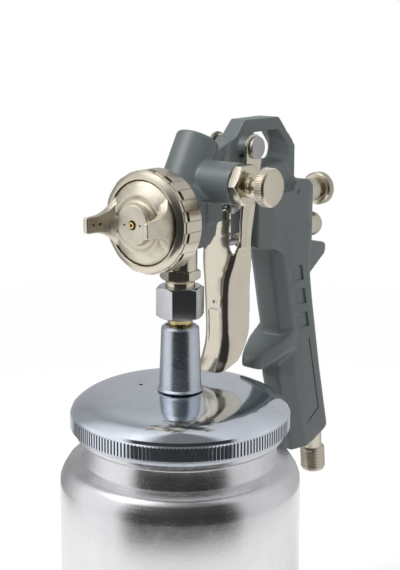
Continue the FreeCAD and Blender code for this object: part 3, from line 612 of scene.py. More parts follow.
ZINC_STEEL = Metal("zinc_steel", "zinc_steel", (0.60, 0.61, 0.62), 0.18, 0.10, 0.008, 0.35)
PLAIN_BRASS = Metal("plain_brass", "brass", (0.66, 0.50, 0.24), 0.25, 0.08, 0.002, marks=Marks.ROUND_Y)
FERRULE_BRASS = Metal("ferrule_brass", "brass", (0.62, 0.50, 0.26), 0.25, 0.10, 0.002, marks=Marks.ROUND_Z)
MIRROR_ALUMINIUM = Metal("mirror_aluminium", "polished_aluminium", (0.74, 0.79, 0.86), 0.09, 0.05,
                         0.0008, 0.6, marks=Marks.ROUND_Z, mark_depth=0.0012, wave=0.01)
STEM_ALUMINIUM = Metal("stem_aluminium", "polished_aluminium", (0.54, 0.58, 0.64), 0.27, 0.12, 0.006, 0.7,
                       marks=Marks.ROUND_Z, mark_depth=0.003, wave=0.02)
PLAIN_ALUMINIUM = Metal("plain_aluminium", "plain_aluminium", (0.72, 0.72, 0.73), 0.32, 0.06, 0.004)
CUP_ALUMINIUM = Metal("cup_aluminium", "cup_aluminium", (0.74, 0.74, 0.75), 0.24, 0.05, 0.002, 0.6,
                      marks=Marks.ROUND_Z, mark_depth=0.005)
WHITE_PACKING = Plastic("white_packing", "packing", (0.80, 0.79, 0.75), 0.45)
BLACK_RUBBER = Plastic("black_rubber", "rubber_black", (0.03, 0.03, 0.03), 0.7)


def dress(piece: bpy.types.Object, finish: Finish, body: str, *nodes: str) -> None:
    """Give a finished piece its material, its body and the CAD nodes it stands for.

    Args:
        piece: The piece.
        finish: Its finish.
        body: The body that it moves with.
        nodes: The CAD nodes that it replaces.
    """
    piece.data.materials.clear()
    piece.data.materials.append(finish.material())
    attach(piece, body)
    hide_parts(*nodes)
    log.info("%s: %d faces, on body %s", piece.name, len(piece.data.polygons), body)


def machined(node: str, name: str, width: float, finish: Finish, body: str) -> None:
    """Put a copy with broken edges in a machined CAD piece's place, and dress it.

    Args:
        node: The CAD node.
        name: The new piece's name.
        width: Width of a broken edge in millimetres.
        finish: Its finish.
        body: The body that it moves with.
    """
    piece = copied(node, name)
    bpy.ops.object.mode_set(mode="EDIT")
    bpy.ops.mesh.select_all(action="SELECT")
    bpy.ops.mesh.customdata_custom_splitnormals_clear()
    bpy.ops.mesh.dissolve_limited(angle_limit=math.radians(1.0))
    bpy.ops.object.mode_set(mode="OBJECT")
    eased(piece, width)
    dress(piece, finish, body, node)


def dress_node(node: str, finish: Finish) -> None:
    """Give a CAD node that stays in sight its finish."""
    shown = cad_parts[node]
    if not shown.material_slots:
        shown.data.materials.append(None)
    for place in shown.material_slots:
        place.material = finish.material()
    log.info("%s: kept, in %s", node, finish.name)


# ------------------------------------------------------------------ sub-assemblies

@dataclass
class Casting:
    """The gun's one-piece body: head, hook, rear block and grip.

    Attributes:
        skin: Spacing of the cast skin's points.
        rounds: How often the whole skin is smoothed.
        grip_rounds: How often the grip is smoothed after that.
        faces: How many faces the skin keeps.
        side: Half width of the grip.
        dimple: Place of the dimple in the rear block, above the spray axis.
        filler: Side view of the grip's flat where marks are cut afterwards.
        recesses: Rear upper corners of the three thumb recesses.
        recess_depth: Depth at a recess's rear edge.
        panel: Side view of the bare panel's groove.
    """

    skin: float = 0.6
    rounds: int = 4
    grip_rounds: int = 16
    faces: int = 92000
    side: float = 11.0
    dimple: Point = (10.5, 78.1, 3.1)
    filler: Outline = field(default_factory=lambda: [
        (75.4, -33), (85.0, -33), (88.0, -54), (91.0, -66), (96.0, -90), (101.0, -112), (103.0, -121),
        (93.0, -121), (90.6, -112), (85.0, -90), (82.4, -66), (79.4, -54), (76.0, -38)])
    recesses: Outline = field(default_factory=lambda: [(81.6, -33.2), (84.3, -45.6), (87.1, -58.0)])
    recess_depth: float = 1.0
    panel: Outline = field(default_factory=lambda: [
        (88.6, -73), (89.6, -72.8), (99.6, -112.5), (87.0, -119.7), (86.4, -118.6), (98.2, -112.0)])

    def recess(self, rear: float, top: float) -> bpy.types.Object:
        """Return one recess's cutter, whose floor runs out forward."""
        length, tall = 11.0, 8.6
        corners = [(rear - length, top), (rear, top - 0.8), (rear + 1.9, top - tall),
                   (rear - 9.4, top - tall + 0.8)]
        cutter = plate("RecessCutter", corners, self.side, self.side + 2.0)
        for vertex in cutter.data.vertices:
            if vertex.co.x < (self.side + 1.0) * MM:
                back = (vertex.co.y / MM - (rear - length)) / length
                vertex.co.x = (self.side + 0.25 - (self.recess_depth + 0.25) * min(max(back, 0.0), 1.05)) * MM
        return cutter

    def ease_grip(self, casting: bpy.types.Object) -> None:
        """Smooth the grip more than the head."""
        group = casting.vertex_groups.new(name="grip")
        for vertex in casting.data.vertices:
            height = vertex.co.z / MM
            behind = min(max((vertex.co.y / MM - 42.0) / 6.0, 0.0), 1.0)
            weight = min(max((206.0 - height) / 8.0, 0.0), 1.0) * behind
            if weight > 0:
                group.add([vertex.index], weight, "REPLACE")
        changed(casting, "SMOOTH", factor=0.5, iterations=self.grip_rounds, vertex_group="grip")
        casting.vertex_groups.clear()

    def build(self) -> None:
        """Model the casting and dress it."""
        casting = copied("gun_body", "body_casting")
        filler = plate("Filler", self.filler, self.side - 2.0, self.side - 0.02)
        casting = joined(casting, filler)
        cast(casting, self.skin, self.rounds)
        self.ease_grip(casting)
        changed(casting, "DECIMATE", ratio=min(1.0, self.faces / max(1, len(casting.data.polygons))))
        cutters = [self.recess(rear, top) for rear, top in self.recesses]
        pick()
        place = Vector(self.dimple) + Vector((0.0, 0.0, SPRAY_HEIGHT))
        bpy.ops.mesh.primitive_uv_sphere_add(
            segments=24, ring_count=16, radius=1.3 * MM, scale=(0.6, 1.2, 0.75),
            rotation=(math.radians(35), 0.0, 0.0), location=place * MM)
        cutters.append(name_new("Dimple"))
        cutters.append(plate("PanelCutter", self.panel, self.side - 0.5, self.side + 2.0))
        cut_away(casting, *cutters, solver="MANIFOLD")
        smooth(casting, 38.0)
        dress(casting, SATIN_GREY, "gun", "gun_body")


@dataclass
class CapRing:
    """The screwed ring round the air cap, with its gripping pads.

    Attributes:
        radius: Outside radius under the pads.
        front: Front edge ahead of the cup's axis.
        back: Rear edge ahead of the cup's axis.
        mouth: Radius of the front opening.
        bore: Radius inside.
        pads: How many pads there are; every other one is longer and has a slot.
        rise: Height of a pad.
        reaches: How far behind the front edge a slotted pad and a plain pad end.
        slot: A slot's length, width and depth.
        slot_back: How far behind the front edge a slot's middle lies.
    """

    radius: float = 22.2
    front: float = 25.8
    back: float = 12.0
    mouth: float = 18.7
    bore: float = 20.3
    pads: int = 30
    rise: float = 0.4
    reaches: tuple[float, float] = (1.9, 2.9)
    slot: Point = (4.1, 1.7, 5.0)
    slot_back: float = 4.3

    def slot_cutters(self) -> bpy.types.Object:
        """Return the short slots' cutters as one mesh."""
        cutters = []
        for pad in range(0, self.pads, 2):
            angle = 2 * math.pi * (pad + 0.5) / self.pads
            out = Vector((math.sin(angle), 0.0, math.cos(angle))) * self.radius
            pick()
            bpy.ops.mesh.primitive_cube_add(
                size=1.0, rotation=(0.0, angle, 0.0), scale=Vector(self.slot) * MM,
                location=(out + Vector((0.0, self.slot_back - self.front, SPRAY_HEIGHT))) * MM)
            cutters.append(name_new(f"SlotCutter{pad}"))
        return joined(cutters[0], *cutters[1:])

    def build(self) -> None:
        """Model the ring and dress it."""
        lip, radius, front = self.front - 3.6, self.radius, self.front
        outline = [(self.bore, self.back), (radius - 0.4, self.back), (radius, self.back + 0.5),
                   (radius, self.back + 0.9), (radius, front - 2.9), (radius, front - 1.9),
                   (radius - 0.1, front - 1.6), (radius - 0.8, front - 0.95), (radius - 1.9, front - 0.35),
                   (self.mouth + 0.7, front - 0.02), (self.mouth + 0.25, front - 0.06),
                   (self.mouth, front - 0.35), (self.mouth, lip), (self.bore, lip)]
        ring = turned("cap_ring", outline, self.pads * 4, Facing.FORWARD)
        for pad in range(self.pads):
            reach = front - self.reaches[pad % 2]

            def on_pad(centre: Vector, normal: Vector, pad: int = pad, reach: float = reach) -> bool:
                """Tell whether a face lies in this pad."""
                share = math.atan2(centre.x, centre.z - SPRAY_HEIGHT) / (2 * math.pi) * self.pads
                outside = Vector((centre.x, centre.z - SPRAY_HEIGHT)).length > radius - 0.08
                along = self.back + 0.9 < -centre.y < reach
                return outside and along and math.floor(share) % self.pads == pad

            raise_faces(ring, on_pad, 0.12, self.rise, each=False)
        cut_away(ring, self.slot_cutters(), solver="MANIFOLD")
        smooth(ring, 24.0)
        dress(ring, RING_NICKEL, "ring", "air_cap_ring")


@dataclass
class AirCap:
    """The air cap with its centre boss and its two flared horns.

    Attributes:
        edge: Radius of the rim that shows in the ring.
        face: Front of that rim ahead of the cup's axis.
        boss: Front of the centre boss.
        boss_radius: Radius of the centre boss.
        horn: Sections of a horn from its root: how far forward, half width, inner side, and how
            far the inner side follows the rim, from 0 to 1.
        turn: How far the cap is turned in the ring, in degrees.
        skin: Spacing of the skin's points.
        rounds: How often the skin is smoothed.
        face_hole: Radius of the two holes beside the tip, and their distance from it.
        horn_hole: Radius of the horns' holes, their lean in degrees and their distance from the axis.
        horn_holes: How far forward the horns' holes are.
    """

    edge: float = 18.35
    face: float = 25.4
    boss: float = 31.9
    boss_radius: float = 8.9
    horn: list[tuple[float, float, float, float]] = field(default_factory=lambda: [
        (22.4, 12.2, 6.0, 0.6), (24.6, 11.6, 7.0, 0.6), (25.8, 10.6, 8.0, 0.6), (27.0, 9.0, 9.2, 0.55),
        (28.4, 7.4, 10.6, 0.45), (30.0, 6.0, 12.0, 0.35), (32.0, 4.9, 13.4, 0.2), (34.4, 4.1, 14.6, 0.1),
        (37.0, 3.65, 15.2, 0.0), (40.0, 3.5, 15.5, 0.0), (42.3, 3.5, 15.5, 0.0), (42.8, 3.1, 15.9, 0.0)])
    turn: float = 2.5
    skin: float = 0.25
    rounds: int = 12
    face_hole: tuple[float, float] = (0.5, 4.4)
    horn_hole: Point = (0.62, 62.0, 15.0)
    horn_holes: tuple[float, float] = (35.6, 39.3)

    def horn_shape(self, side: int) -> bpy.types.Object:
        """Return one horn with the flare that carries it, drawn forward along Z."""
        loops, half_count = [], 9
        for forward, half, inner, follow in self.horn:
            across = [half * (2 * step / (half_count - 1) - 1) for step in range(half_count)]
            rim = [math.sqrt((self.edge - 0.05) ** 2 - y * y) for y in across]
            outer = [(side * x, y, forward) for x, y in zip(rim, across)]
            back = [(side * (inner + follow * (x - 0.7 - inner) * (y / half) ** 2), y, forward)
                    for x, y in zip(rim, across)]
            loops.append(outer + back[::-1])
        return lofted(f"Horn{side}", loops)

    def drills(self) -> list[bpy.types.Object]:
        """Return the cutters of the tip's opening and of the air holes."""
        origin = (0.0, 0.0, 0.0)
        cutters = [turned("TipCutter", [(0.0, 28.0), (2.15, 28.0), (2.15, 34.0), (0.0, 34.0)], 40, at=origin)]
        small, apart = self.face_hole
        radius, lean, out = self.horn_hole
        for side in (1, -1):
            hole = turned(f"FaceHole{side}", [(0, 29), (small, 29), (small, 34), (0, 34)], 16, at=origin)
            hole.data.transform(Matrix.Translation((side * apart * MM, 0.0, 0.0)))
            cutters.append(hole)
            for height in self.horn_holes:
                section = [(0, -3), (radius, -3), (radius, 2.2), (0, 2.2)]
                hole = turned(f"HornHole{side}{height}", section, 16, at=origin)
                hole.data.transform(Matrix.Rotation(side * math.radians(-lean), 4, "Y"))
                hole.data.transform(Matrix.Translation((side * out * MM, 0.0, height * MM)))
                cutters.append(hole)
        return cutters

    def build(self) -> None:
        """Model the cap and dress it."""
        radius = self.boss_radius
        outline = [(0.0, self.boss), (radius - 0.4, self.boss), (radius, self.boss - 0.5), (radius, 29.4),
                   (radius + 0.5, 28.3), (radius + 1.6, 27.9), (radius + 2.8, 28.4), (radius + 3.6, 28.7),
                   (14.6, 27.7), (16.9, 26.4), (17.9, self.face + 0.1), (self.edge, self.face - 0.4),
                   (self.edge, 22.1), (19.8, 22.1), (19.8, 17.6), (17.2, 17.6), (17.2, 20.8), (6.6, 25.6),
                   (0.0, 28.6)]
        cap = turned("air_cap_horned", outline, 96, at=(0.0, 0.0, 0.0))
        cap = joined(cap, self.horn_shape(1), self.horn_shape(-1))
        cast(cap, self.skin, self.rounds)
        cut_away(cap, *self.drills(), solver="MANIFOLD")
        cap.data.transform(Matrix.Rotation(math.radians(self.turn), 4, "Z"))
        settle(cap, Facing.FORWARD, (0.0, 0.0, SPRAY_HEIGHT))
        smooth(cap, 50.0)
        dress(cap, BLASTED_NICKEL, "cap", "air_cap")


@dataclass
class Knob:
    """A round knob with a straight knurl on its rim.

    Attributes:
        name: The piece's name.
        node: The CAD node that it stands for.
        body: The body that it rides.
        facing: Where its outer face looks.
        at: The place of height 0 on its axis.
        outline: Its section, of which the rim is the part at its full radius.
        rim: Its full radius.
        finish: Its finish.
        teeth: How many ribs the knurl has.
        rib: How far a rib's slope runs in, and how high it stands.
    """

    name: str
    node: str
    body: str
    facing: Facing
    at: Point
    outline: Outline
    rim: float
    finish: Finish
    teeth: int = 56
    rib: tuple[float, float] = (0.22, 0.42)

    def build(self) -> None:
        """Model the knob and dress it."""
        knob = turned(self.name, self.outline, self.teeth, self.facing, self.at)
        axis = Vector((0, 0, 1))
        axis.rotate(Euler(self.facing.value))
        start = Vector(self.at)

        def on_rim(centre: Vector, normal: Vector) -> bool:
            """Tell whether a face lies on the knob's rim."""
            away = centre - start
            return (away - axis * away.dot(axis)).length > self.rim - 0.15 and abs(normal.dot(axis)) < 0.3

        raise_faces(knob, on_rim, *self.rib)
        smooth(knob, 32.0)
        dress(knob, self.finish, self.body, self.node)


@dataclass
class PatternValve:
    """The fan pattern valve on the gun's left: hexagon, spindle and knob.

    Attributes:
        at: The place of X = 0 on its axis.
        rim: The knob's radius.
        face: The knob's outer face.
        tall: The knob's thickness.
    """

    at: Point = (0.0, 7.9, SPRAY_HEIGHT + 15.5)
    rim: float = 8.0
    face: float = 44.8
    tall: float = 5.3

    def build(self) -> None:
        """Model the valve's pieces and dress them."""
        machined("pattern_valve_body", "pattern_hexagon", 0.35, VALVE_NICKEL, "gun")
        foot = self.face - self.tall
        spindle = [(0, 11.5), (1.4, 11.5), (2.3, 14.0), (2.3, 20.2), (3.4, 20.2), (3.4, 22.4), (4.98, 22.4),
                   (4.98, 32.2)]
        for turn in range(3):
            rise = 32.5 + turn * 0.95
            spindle += [(4.1, rise), (4.95, rise + 0.45)]
        spindle += [(4.0, 35.4), (3.6, 35.8), (3.6, 37.0), (4.6, 37.6), (4.6, foot), (0, foot)]
        screw = turned("pattern_screw_spindle", spindle, 72, Facing.LEFTWARD, self.at)
        smooth(screw, 32.0)
        dress(screw, VALVE_NICKEL, "pattern_screw", "pattern_spindle")
        knob = [(0, foot), (self.rim - 0.5, foot), (self.rim, foot + 0.5), (self.rim, self.face - 0.8),
                (self.rim - 0.5, self.face - 0.15), (self.rim - 1.1, self.face), (0, self.face)]
        Knob("pattern_knob_turned", "pattern_knob", "pattern_screw", Facing.LEFTWARD, self.at, knob,
             self.rim, KNOB_NICKEL).build()
        dress_node("pattern_seal", BLACK_RUBBER)


@dataclass
class RearControls:
    """The fluid knob with its sleeve, and the air valve's domed cap.

    Attributes:
        rim: The knob's radius.
        face: The knob's rear face behind the cup's axis.
    """

    rim: float = 8.0
    face: float = 115.0

    def build(self) -> None:
        """Model the rear pieces and dress them."""
        machined("fluid_sleeve", "fluid_sleeve_turned", 0.2, REAR_NICKEL, "gun")
        rim, face = self.rim, self.face
        foot = face - 5.8
        knob = [(2.2, 95.2), (3.8, 95.2), (3.8, foot), (rim - 0.6, foot), (rim, foot + 0.6),
                (rim, face - 1.0), (rim - 0.4, face - 0.3), (rim - 0.9, face), (0, face), (0, 102.0),
                (2.2, 102.0)]
        Knob("fluid_knob_turned", "fluid_knob", "fluid_screw", Facing.REARWARD, (0.0, 0.0, SPRAY_HEIGHT),
             knob, rim, REAR_NICKEL).build()
        machined("air_valve_cap", "air_valve_dome", 0.2, VALVE_CAP_NICKEL, "gun")


@dataclass
class Trigger:
    """The pressed trigger with its two ears, its tongue and its finger part.

    Attributes:
        sections: Height, front, rear, half width in front and behind, from the top down.
        ear: Side view of an ear's strap.
        span: Outer face of the ears.
        wall: Thickness of the pressing.
        pivot: The pivot's place, behind the cup's axis and above the spray axis.
        eye: Radius of the ears' round ends.
        pin: Radius of the pin's hole.
        slot: Front view of the opening beside the tongue.
        grid: How many points the sheet has across and down.
        skin: Spacing of the pressed skin's points.
        rounds: How often that skin is smoothed.
        needle: Radius and height of the needle's hole.
    """

    sections: list[tuple[float, ...]] = field(default_factory=lambda: [
        (3.4, 32.4, 40.6, 9.5, 11.4), (-14.0, 29.4, 37.4, 9.3, 11.4), (-24.0, 27.0, 37.8, 8.4, 11.3),
        (-34.0, 25.4, 38.4, 6.3, 10.2), (-48.0, 25.6, 38.8, 5.6, 9.8), (-58.0, 26.0, 38.8, 5.6, 9.6),
        (-65.0, 25.0, 36.6, 6.2, 9.2), (-71.0, 22.6, 32.6, 7.0, 8.6), (-76.2, 19.8, 27.0, 7.2, 7.8)])
    ear: Outline = field(default_factory=lambda: [
        (34.5, 30.4), (45.9, 30.4), (45.5, 20), (41.9, 5), (38.4, -11), (37.4, -18), (30.0, -18), (30.6, -5),
        (33.6, 15), (33.8, 25)])
    span: float = 11.45
    wall: float = 1.5
    pivot: tuple[float, float] = (40.2, 27.7)
    eye: float = 6.3
    pin: float = 2.6
    slot: Outline = field(default_factory=lambda: [
        (4.3, 9), (4.1, -5), (4.9, -12), (6.0, -17.5), (7.4, -20.5), (8.6, -21.5), (9.4, -17), (9.9, -10),
        (10.2, 9)])
    grid: tuple[int, int] = (61, 121)
    skin: float = 0.36
    rounds: int = 5
    needle: tuple[float, float] = (2.3, 0.6)

    def section_at(self, height: float) -> tuple[float, ...]:
        """Return front, rear and half widths at a height, on a smooth curve through the sections."""
        rows = self.sections
        upper = max(index for index, row in enumerate(rows[:-1]) if row[0] >= height or index == 0)
        before, first = rows[max(upper - 1, 0)], rows[upper]
        last, after = rows[upper + 1], rows[min(upper + 2, len(rows) - 1)]
        share = (height - first[0]) / (last[0] - first[0])
        mixed = []
        for a, b, c, d in zip(before[1:], first[1:], last[1:], after[1:]):
            slope_in, slope_out = (c - a) / 2, (d - b) / 2
            cubic = share ** 3 * (2 * b - 2 * c + slope_in + slope_out)
            square = share ** 2 * (3 * c - 3 * b - 2 * slope_in - slope_out)
            mixed.append(cubic + square + share * slope_in + b)
        return tuple(mixed)

    def wrap(self, along: float, height: float) -> tuple[float, float]:
        """Return a point of the bent sheet: x and y, from the right rear edge to the left one.

        Args:
            along: From -1 at the right rear edge to 1 at the left one.
            height: Height against the spray axis.
        """
        front, rear, narrow, wide = self.section_at(height)
        side = 1.0 if along >= 0 else -1.0
        reach = abs(along)
        bend, soft = 0.42, 0.14 + 0.22 * min(max((-58.0 - height) / 14.0, 0.0), 1.0)
        corner, rim = Vector((narrow, front)), Vector((wide, rear))
        middle = Vector((0.0, front - 0.35))
        if reach < bend - soft:
            point = middle.lerp(corner, reach / bend)
        elif reach > bend + soft:
            point = corner.lerp(rim, (reach - bend) / (1 - bend))
        else:
            share = (reach - bend + soft) / (2 * soft)
            start = middle.lerp(corner, (bend - soft) / bend)
            end = corner.lerp(rim, soft / (1 - bend))
            point = start.lerp(corner, share).lerp(corner.lerp(end, share), share)
        return point.x * side, point.y

    def pressed_panel(self, x: float, height: float) -> float:
        """Return how far the stamped panel sinks at a point of the front face."""
        across = min(max((3.8 - abs(x)) / 0.8, 0.0), 1.0)
        down = min(max((-46.6 - height) / 0.9, 0.0), 1.0) * min(max((height + 72.0) / 3.0, 0.0), 1.0)
        dent = max(0.0, 1.0 - ((x - 0.6) ** 2 + (height + 43.6) ** 2) / 2.2)
        return 0.45 * across * down + 0.55 * dent

    def finger_part(self) -> bpy.types.Object:
        """Return the bent sheet below the ears, with its openings and its thickness."""
        pick()
        columns, rows = self.grid
        bpy.ops.mesh.primitive_grid_add(x_subdivisions=columns - 1, y_subdivisions=rows - 1, size=2.0)
        sheet = name_new("TriggerSheet")
        top, bottom = self.sections[0][0], self.sections[-1][0]
        for vertex in sheet.data.vertices:
            along, share = vertex.co.x, (1.0 - vertex.co.y) / 2
            lift = max(abs(along) - 0.35, 0.0) ** 2 * 9.0 * max(share - 0.8, 0.0) / 0.2
            height = top + (bottom - top) * share + lift
            x, y = self.wrap(along, height)
            y += self.pressed_panel(x, height) if abs(along) < 0.4 else 0.0
            vertex.co = Vector((x, y, height + SPRAY_HEIGHT)) * MM
        choose_faces(sheet, lambda centre, normal: self.in_slot(abs(centre.x), centre.z - SPRAY_HEIGHT))
        bpy.ops.mesh.delete(type="FACE")
        bpy.ops.mesh.select_all(action="SELECT")
        bpy.ops.mesh.normals_make_consistent(inside=False)
        bpy.ops.object.mode_set(mode="OBJECT")
        changed(sheet, "SOLIDIFY", thickness=self.wall * MM, offset=0.0, use_even_offset=True)
        return sheet

    def in_slot(self, x: float, z: float) -> bool:
        """Tell whether a point of the front view lies in the opening beside the tongue."""
        inside = False
        corners = self.slot
        for (x1, z1), (x2, z2) in zip(corners, corners[1:] + corners[:1]):
            if (z1 > z) != (z2 > z) and x < (x2 - x1) * (z - z1) / (z2 - z1) + x1:
                inside = not inside
        return inside

    def build(self) -> None:
        """Model the trigger and dress it."""
        parts = [self.finger_part()]
        for side in (1, -1):
            inner, outer = sorted((side * (self.span - self.wall), side * self.span))
            parts.append(plate(f"Ear{side}", self.ear, inner, outer))
            parts.append(bar(f"Eye{side}", self.eye, (inner, *self.pivot), (outer, *self.pivot)))
        trigger = joined(*parts)
        trigger.name = "trigger_pressing"
        trigger.data.name = "trigger_pressing"
        cast(trigger, self.skin, self.rounds)
        radius, height = self.needle
        cutters = [bar("PinHole", self.pin, (-20, *self.pivot), (20, *self.pivot)),
                   bar("NeedleHole", radius, (0, 26, height), (0, 44, height))]
        cut_away(trigger, *cutters, solver="MANIFOLD")
        smooth(trigger, 45.0)
        dress(trigger, PRESSED_NICKEL, "trigger", "trigger")
        machined("trigger_pin", "trigger_pin_headed", 0.25, PIN_STEEL, "gun")
        dress_node("trigger_clip", GROUND_STEEL)


@dataclass
class FluidLine:
    """The connector, the swivel nut, the ferrule and the lid's stem.

    Attributes:
        foot: Height of the stem's foot against the spray axis.
    """

    foot: float = -79.5

    def build(self) -> None:
        """Model the line's pieces and dress them."""
        machined("fluid_connector", "fluid_connector_turned", 0.25, CONNECTOR_NICKEL, "gun")
        machined("swivel_nut", "swivel_nut_milled", 0.3, ZINC_STEEL, "swivel")
        machined("stem_ferrule", "stem_ferrule_turned", 0.15, FERRULE_BRASS, "lid")
        foot = self.foot
        outline = [(5.0, foot - 3.0), (8.0, foot - 3.0), (8.0, foot), (9.9, foot), (10.4, foot + 0.2),
                   (10.5, foot + 0.6), (10.2, foot + 1.0), (9.75, foot + 1.4), (9.58, foot + 2.2),
                   (9.1, -65.0), (8.62, -51.2), (8.3, -50.4), (7.6, -49.8), (6.8, -49.7), (6.5, -50.1),
                   (6.4, -50.6),
                   (5.0, -50.6)]
        stem = turned("lid_stem_turned", outline, 96)
        smooth(stem, 32.0)
        dress(stem, STEM_ALUMINIUM, "lid", "lid_stem")


@dataclass
class CupAndLid:
    """The domed lid with its knurled rim, the gasket, the pickup tube and the cup.

    Attributes:
        rim: The lid's radius over the knurl.
        apex: Height of the lid's crown against the spray axis.
        edge: Top of the knurled band.
        band: Height of the knurled band.
        teeth: How many ribs the knurl has.
        vent: Place of the vent hole.
        side: The cup's radius.
        floor: Height of the cup's underside against the spray axis.
    """

    rim: float = 49.4
    apex: float = -79.8
    edge: float = -88.9
    band: float = 7.0
    teeth: int = 184
    vent: tuple[float, float] = (-18.6, -5.9)
    side: float = 54.95
    floor: float = -SPRAY_HEIGHT

    def lid(self) -> bpy.types.Object:
        """Return the lid with its knurl and vent."""
        apex, edge, rim = self.apex, self.edge, self.rim
        low, inside = edge - self.band, 48.1
        outline = [(8.05, apex)]
        for step in range(1, 19):
            radius = 8.05 + (49.0 - 8.05) * math.sin(math.pi / 2 * step / 18)
            share = radius / 49.9
            outline.append((radius, apex - 1.1 * share ** 2 - 7.3 * share ** 8 - 0.1))
        outline += [(rim - 0.2, edge + 0.15), (rim, edge - 0.05), (rim, low + 0.25),
                    (rim - 0.25, low), (inside, low), (inside, edge - 0.4), (44.6, apex - 5.9),
                    (39.4, apex - 3.6), (25.2, apex - 2.2), (8.05, apex - 1.6)]
        lid = turned("lid_spun", outline, self.teeth)

        def on_band(centre: Vector, normal: Vector) -> bool:
            """Tell whether a face lies in the knurled band."""
            return math.hypot(centre.x, centre.y) > rim - 0.12 and abs(normal.z) < 0.3

        raise_faces(lid, on_band, 0.42, 0.55)
        cut_away(lid, bar("VentCutter", 0.95, (*self.vent, -95), (*self.vent, -75)))
        smooth(lid, 32.0)
        return lid

    def cup(self) -> bpy.types.Object:
        """Return the cup with its waisted neck, its beads and its base."""
        side, floor, base = self.side, self.floor, 51.0
        outline = [(0, floor), (base - 12, floor), (base - 11, floor + 0.8), (base - 8, floor + 0.8),
                   (base - 7, floor), (base, floor), (base + 1.7, floor + 0.3),
                   (side - 1.1, floor + 1.2), (side - 0.3, floor + 2.5), (side, floor + 4.0),
                   (side, floor + 10.0), (side - 0.5, floor + 10.8), (side - 0.5, floor + 11.6),
                   (side, floor + 12.4), (side, -121.5), (side - 0.3, -119.0), (side - 1.2, -116.6),
                   (side - 2.6, -114.4), (51.4, -112.9), (49.4, -112.0), (46.6, -111.2), (44.8, -110.2),
                   (44.1, -108.6), (44.0, -102.0), (46.5, -100.4), (47.4, -99.2), (47.4, -98.0),
                   (46.4, -96.8), (46.2, -96.0), (46.2, -94.2), (45.9, -93.8), (45.1, -93.8),
                   (44.8, -94.2), (44.8, -98.6), (42.6, -102.4), (42.6, -109.4), (49.4, -113.8),
                   (52.6, -117.0), (53.6, -121.5), (53.6, floor + 5.0), (52.4, floor + 3.2),
                   (50.0, floor + 2.6), (0, floor + 2.6)]
        cup = turned("cup_spun", outline, 128)
        smooth(cup, 34.0)
        return cup

    def build(self) -> None:
        """Model the pieces and dress them."""
        dress(self.lid(), MIRROR_ALUMINIUM, "lid", "cup_lid")
        dress(self.cup(), CUP_ALUMINIUM, "cup", "cup")
        dress_node("lid_gasket", WHITE_PACKING)
        dress_node("pickup_tube", PLAIN_ALUMINIUM)


@dataclass
class Inlet:
    """The threaded air inlet under the grip.

    Attributes:
        seat: Its place at the grip's foot, behind the cup's axis and above the spray axis.
        lean: How far it leans back, in degrees.
    """

    seat: tuple[float, float] = (109.6, -125.6)
    lean: float = 5.74

    def build(self) -> None:
        """Model the inlet and dress it."""
        outline = [(3.2, 6.0), (4.6, 6.0), (4.6, -1.6), (5.1, -1.8), (5.1, -13.0), (6.3, -13.8)]
        for turn in range(8):
            drop = -14.4 - turn * 1.45
            outline += [(6.52, drop), (5.8, drop - 0.72)]
        outline += [(5.9, -26.0), (3.2, -26.0)]
        inlet = turned("air_inlet", outline, 64, at=(0.0, 0.0, 0.0))
        inlet.data.transform(Matrix.Rotation(math.radians(self.lean), 4, "X"))
        settle(inlet, Facing.UP, (0.0, self.seat[0], self.seat[1] + SPRAY_HEIGHT))
        smooth(inlet, 28.0)
        dress(inlet, INLET_NICKEL, "gun", "air_nipple")


@dataclass(frozen=True)
class Spring:
    """A coil spring, copied from its CAD node and dressed; it keeps its length.

    Attributes:
        node: The CAD node that it stands for.
        joint: The joint that presses it; not used.
        travel: How far the joint moves, in millimetres; not used.
    """

    node: str
    joint: str
    travel: float

    def build(self) -> None:
        """Copy the spring, dress it on the gun and give it its own mesh."""
        spring = copied(self.node, f"{self.node}_wound")
        dress(spring, GROUND_STEEL, "gun", self.node)
        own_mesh(spring)


@dataclass
class Insides:
    """The CAD pieces that stay in sight or inside, each with its finish, and the two springs."""

    springs: tuple[Spring, ...] = (Spring("needle_spring", "needle_travel", 6.5),
                                   Spring("air_valve_spring", "air_valve_travel", 10.5))
    finishes: dict[str, Finish] = field(default_factory=lambda: {
        "fluid_nozzle": PLAIN_BRASS, "air_baffle": PLAIN_ALUMINIUM, "fluid_needle": GROUND_STEEL,
        "needle_packing": WHITE_PACKING, "needle_packing_nut": REAR_NICKEL, "fluid_spring_pad": GROUND_STEEL,
        "air_valve_gland": REAR_NICKEL, "air_valve_stem": GROUND_STEEL, "air_valve_seat": WHITE_PACKING})

    def build(self) -> None:
        """Dress the pieces."""
        for node, finish in self.finishes.items():
            dress_node(node, finish)
        for spring in self.springs:
            spring.build()


# ------------------------------------------------------------------ studio

@dataclass(frozen=True)
class Lamp:
    """A soft round lamp.

    Attributes:
        azimuth: Where it hangs round the gun, in degrees.
        elevation: How high it hangs, in degrees.
        size: Its width in metres.
        power: Its power in watts.
        gleam: Whether it also shows as a gleam on glossy surfaces.
    """

    azimuth: float
    elevation: float
    size: float
    power: float
    gleam: bool = False


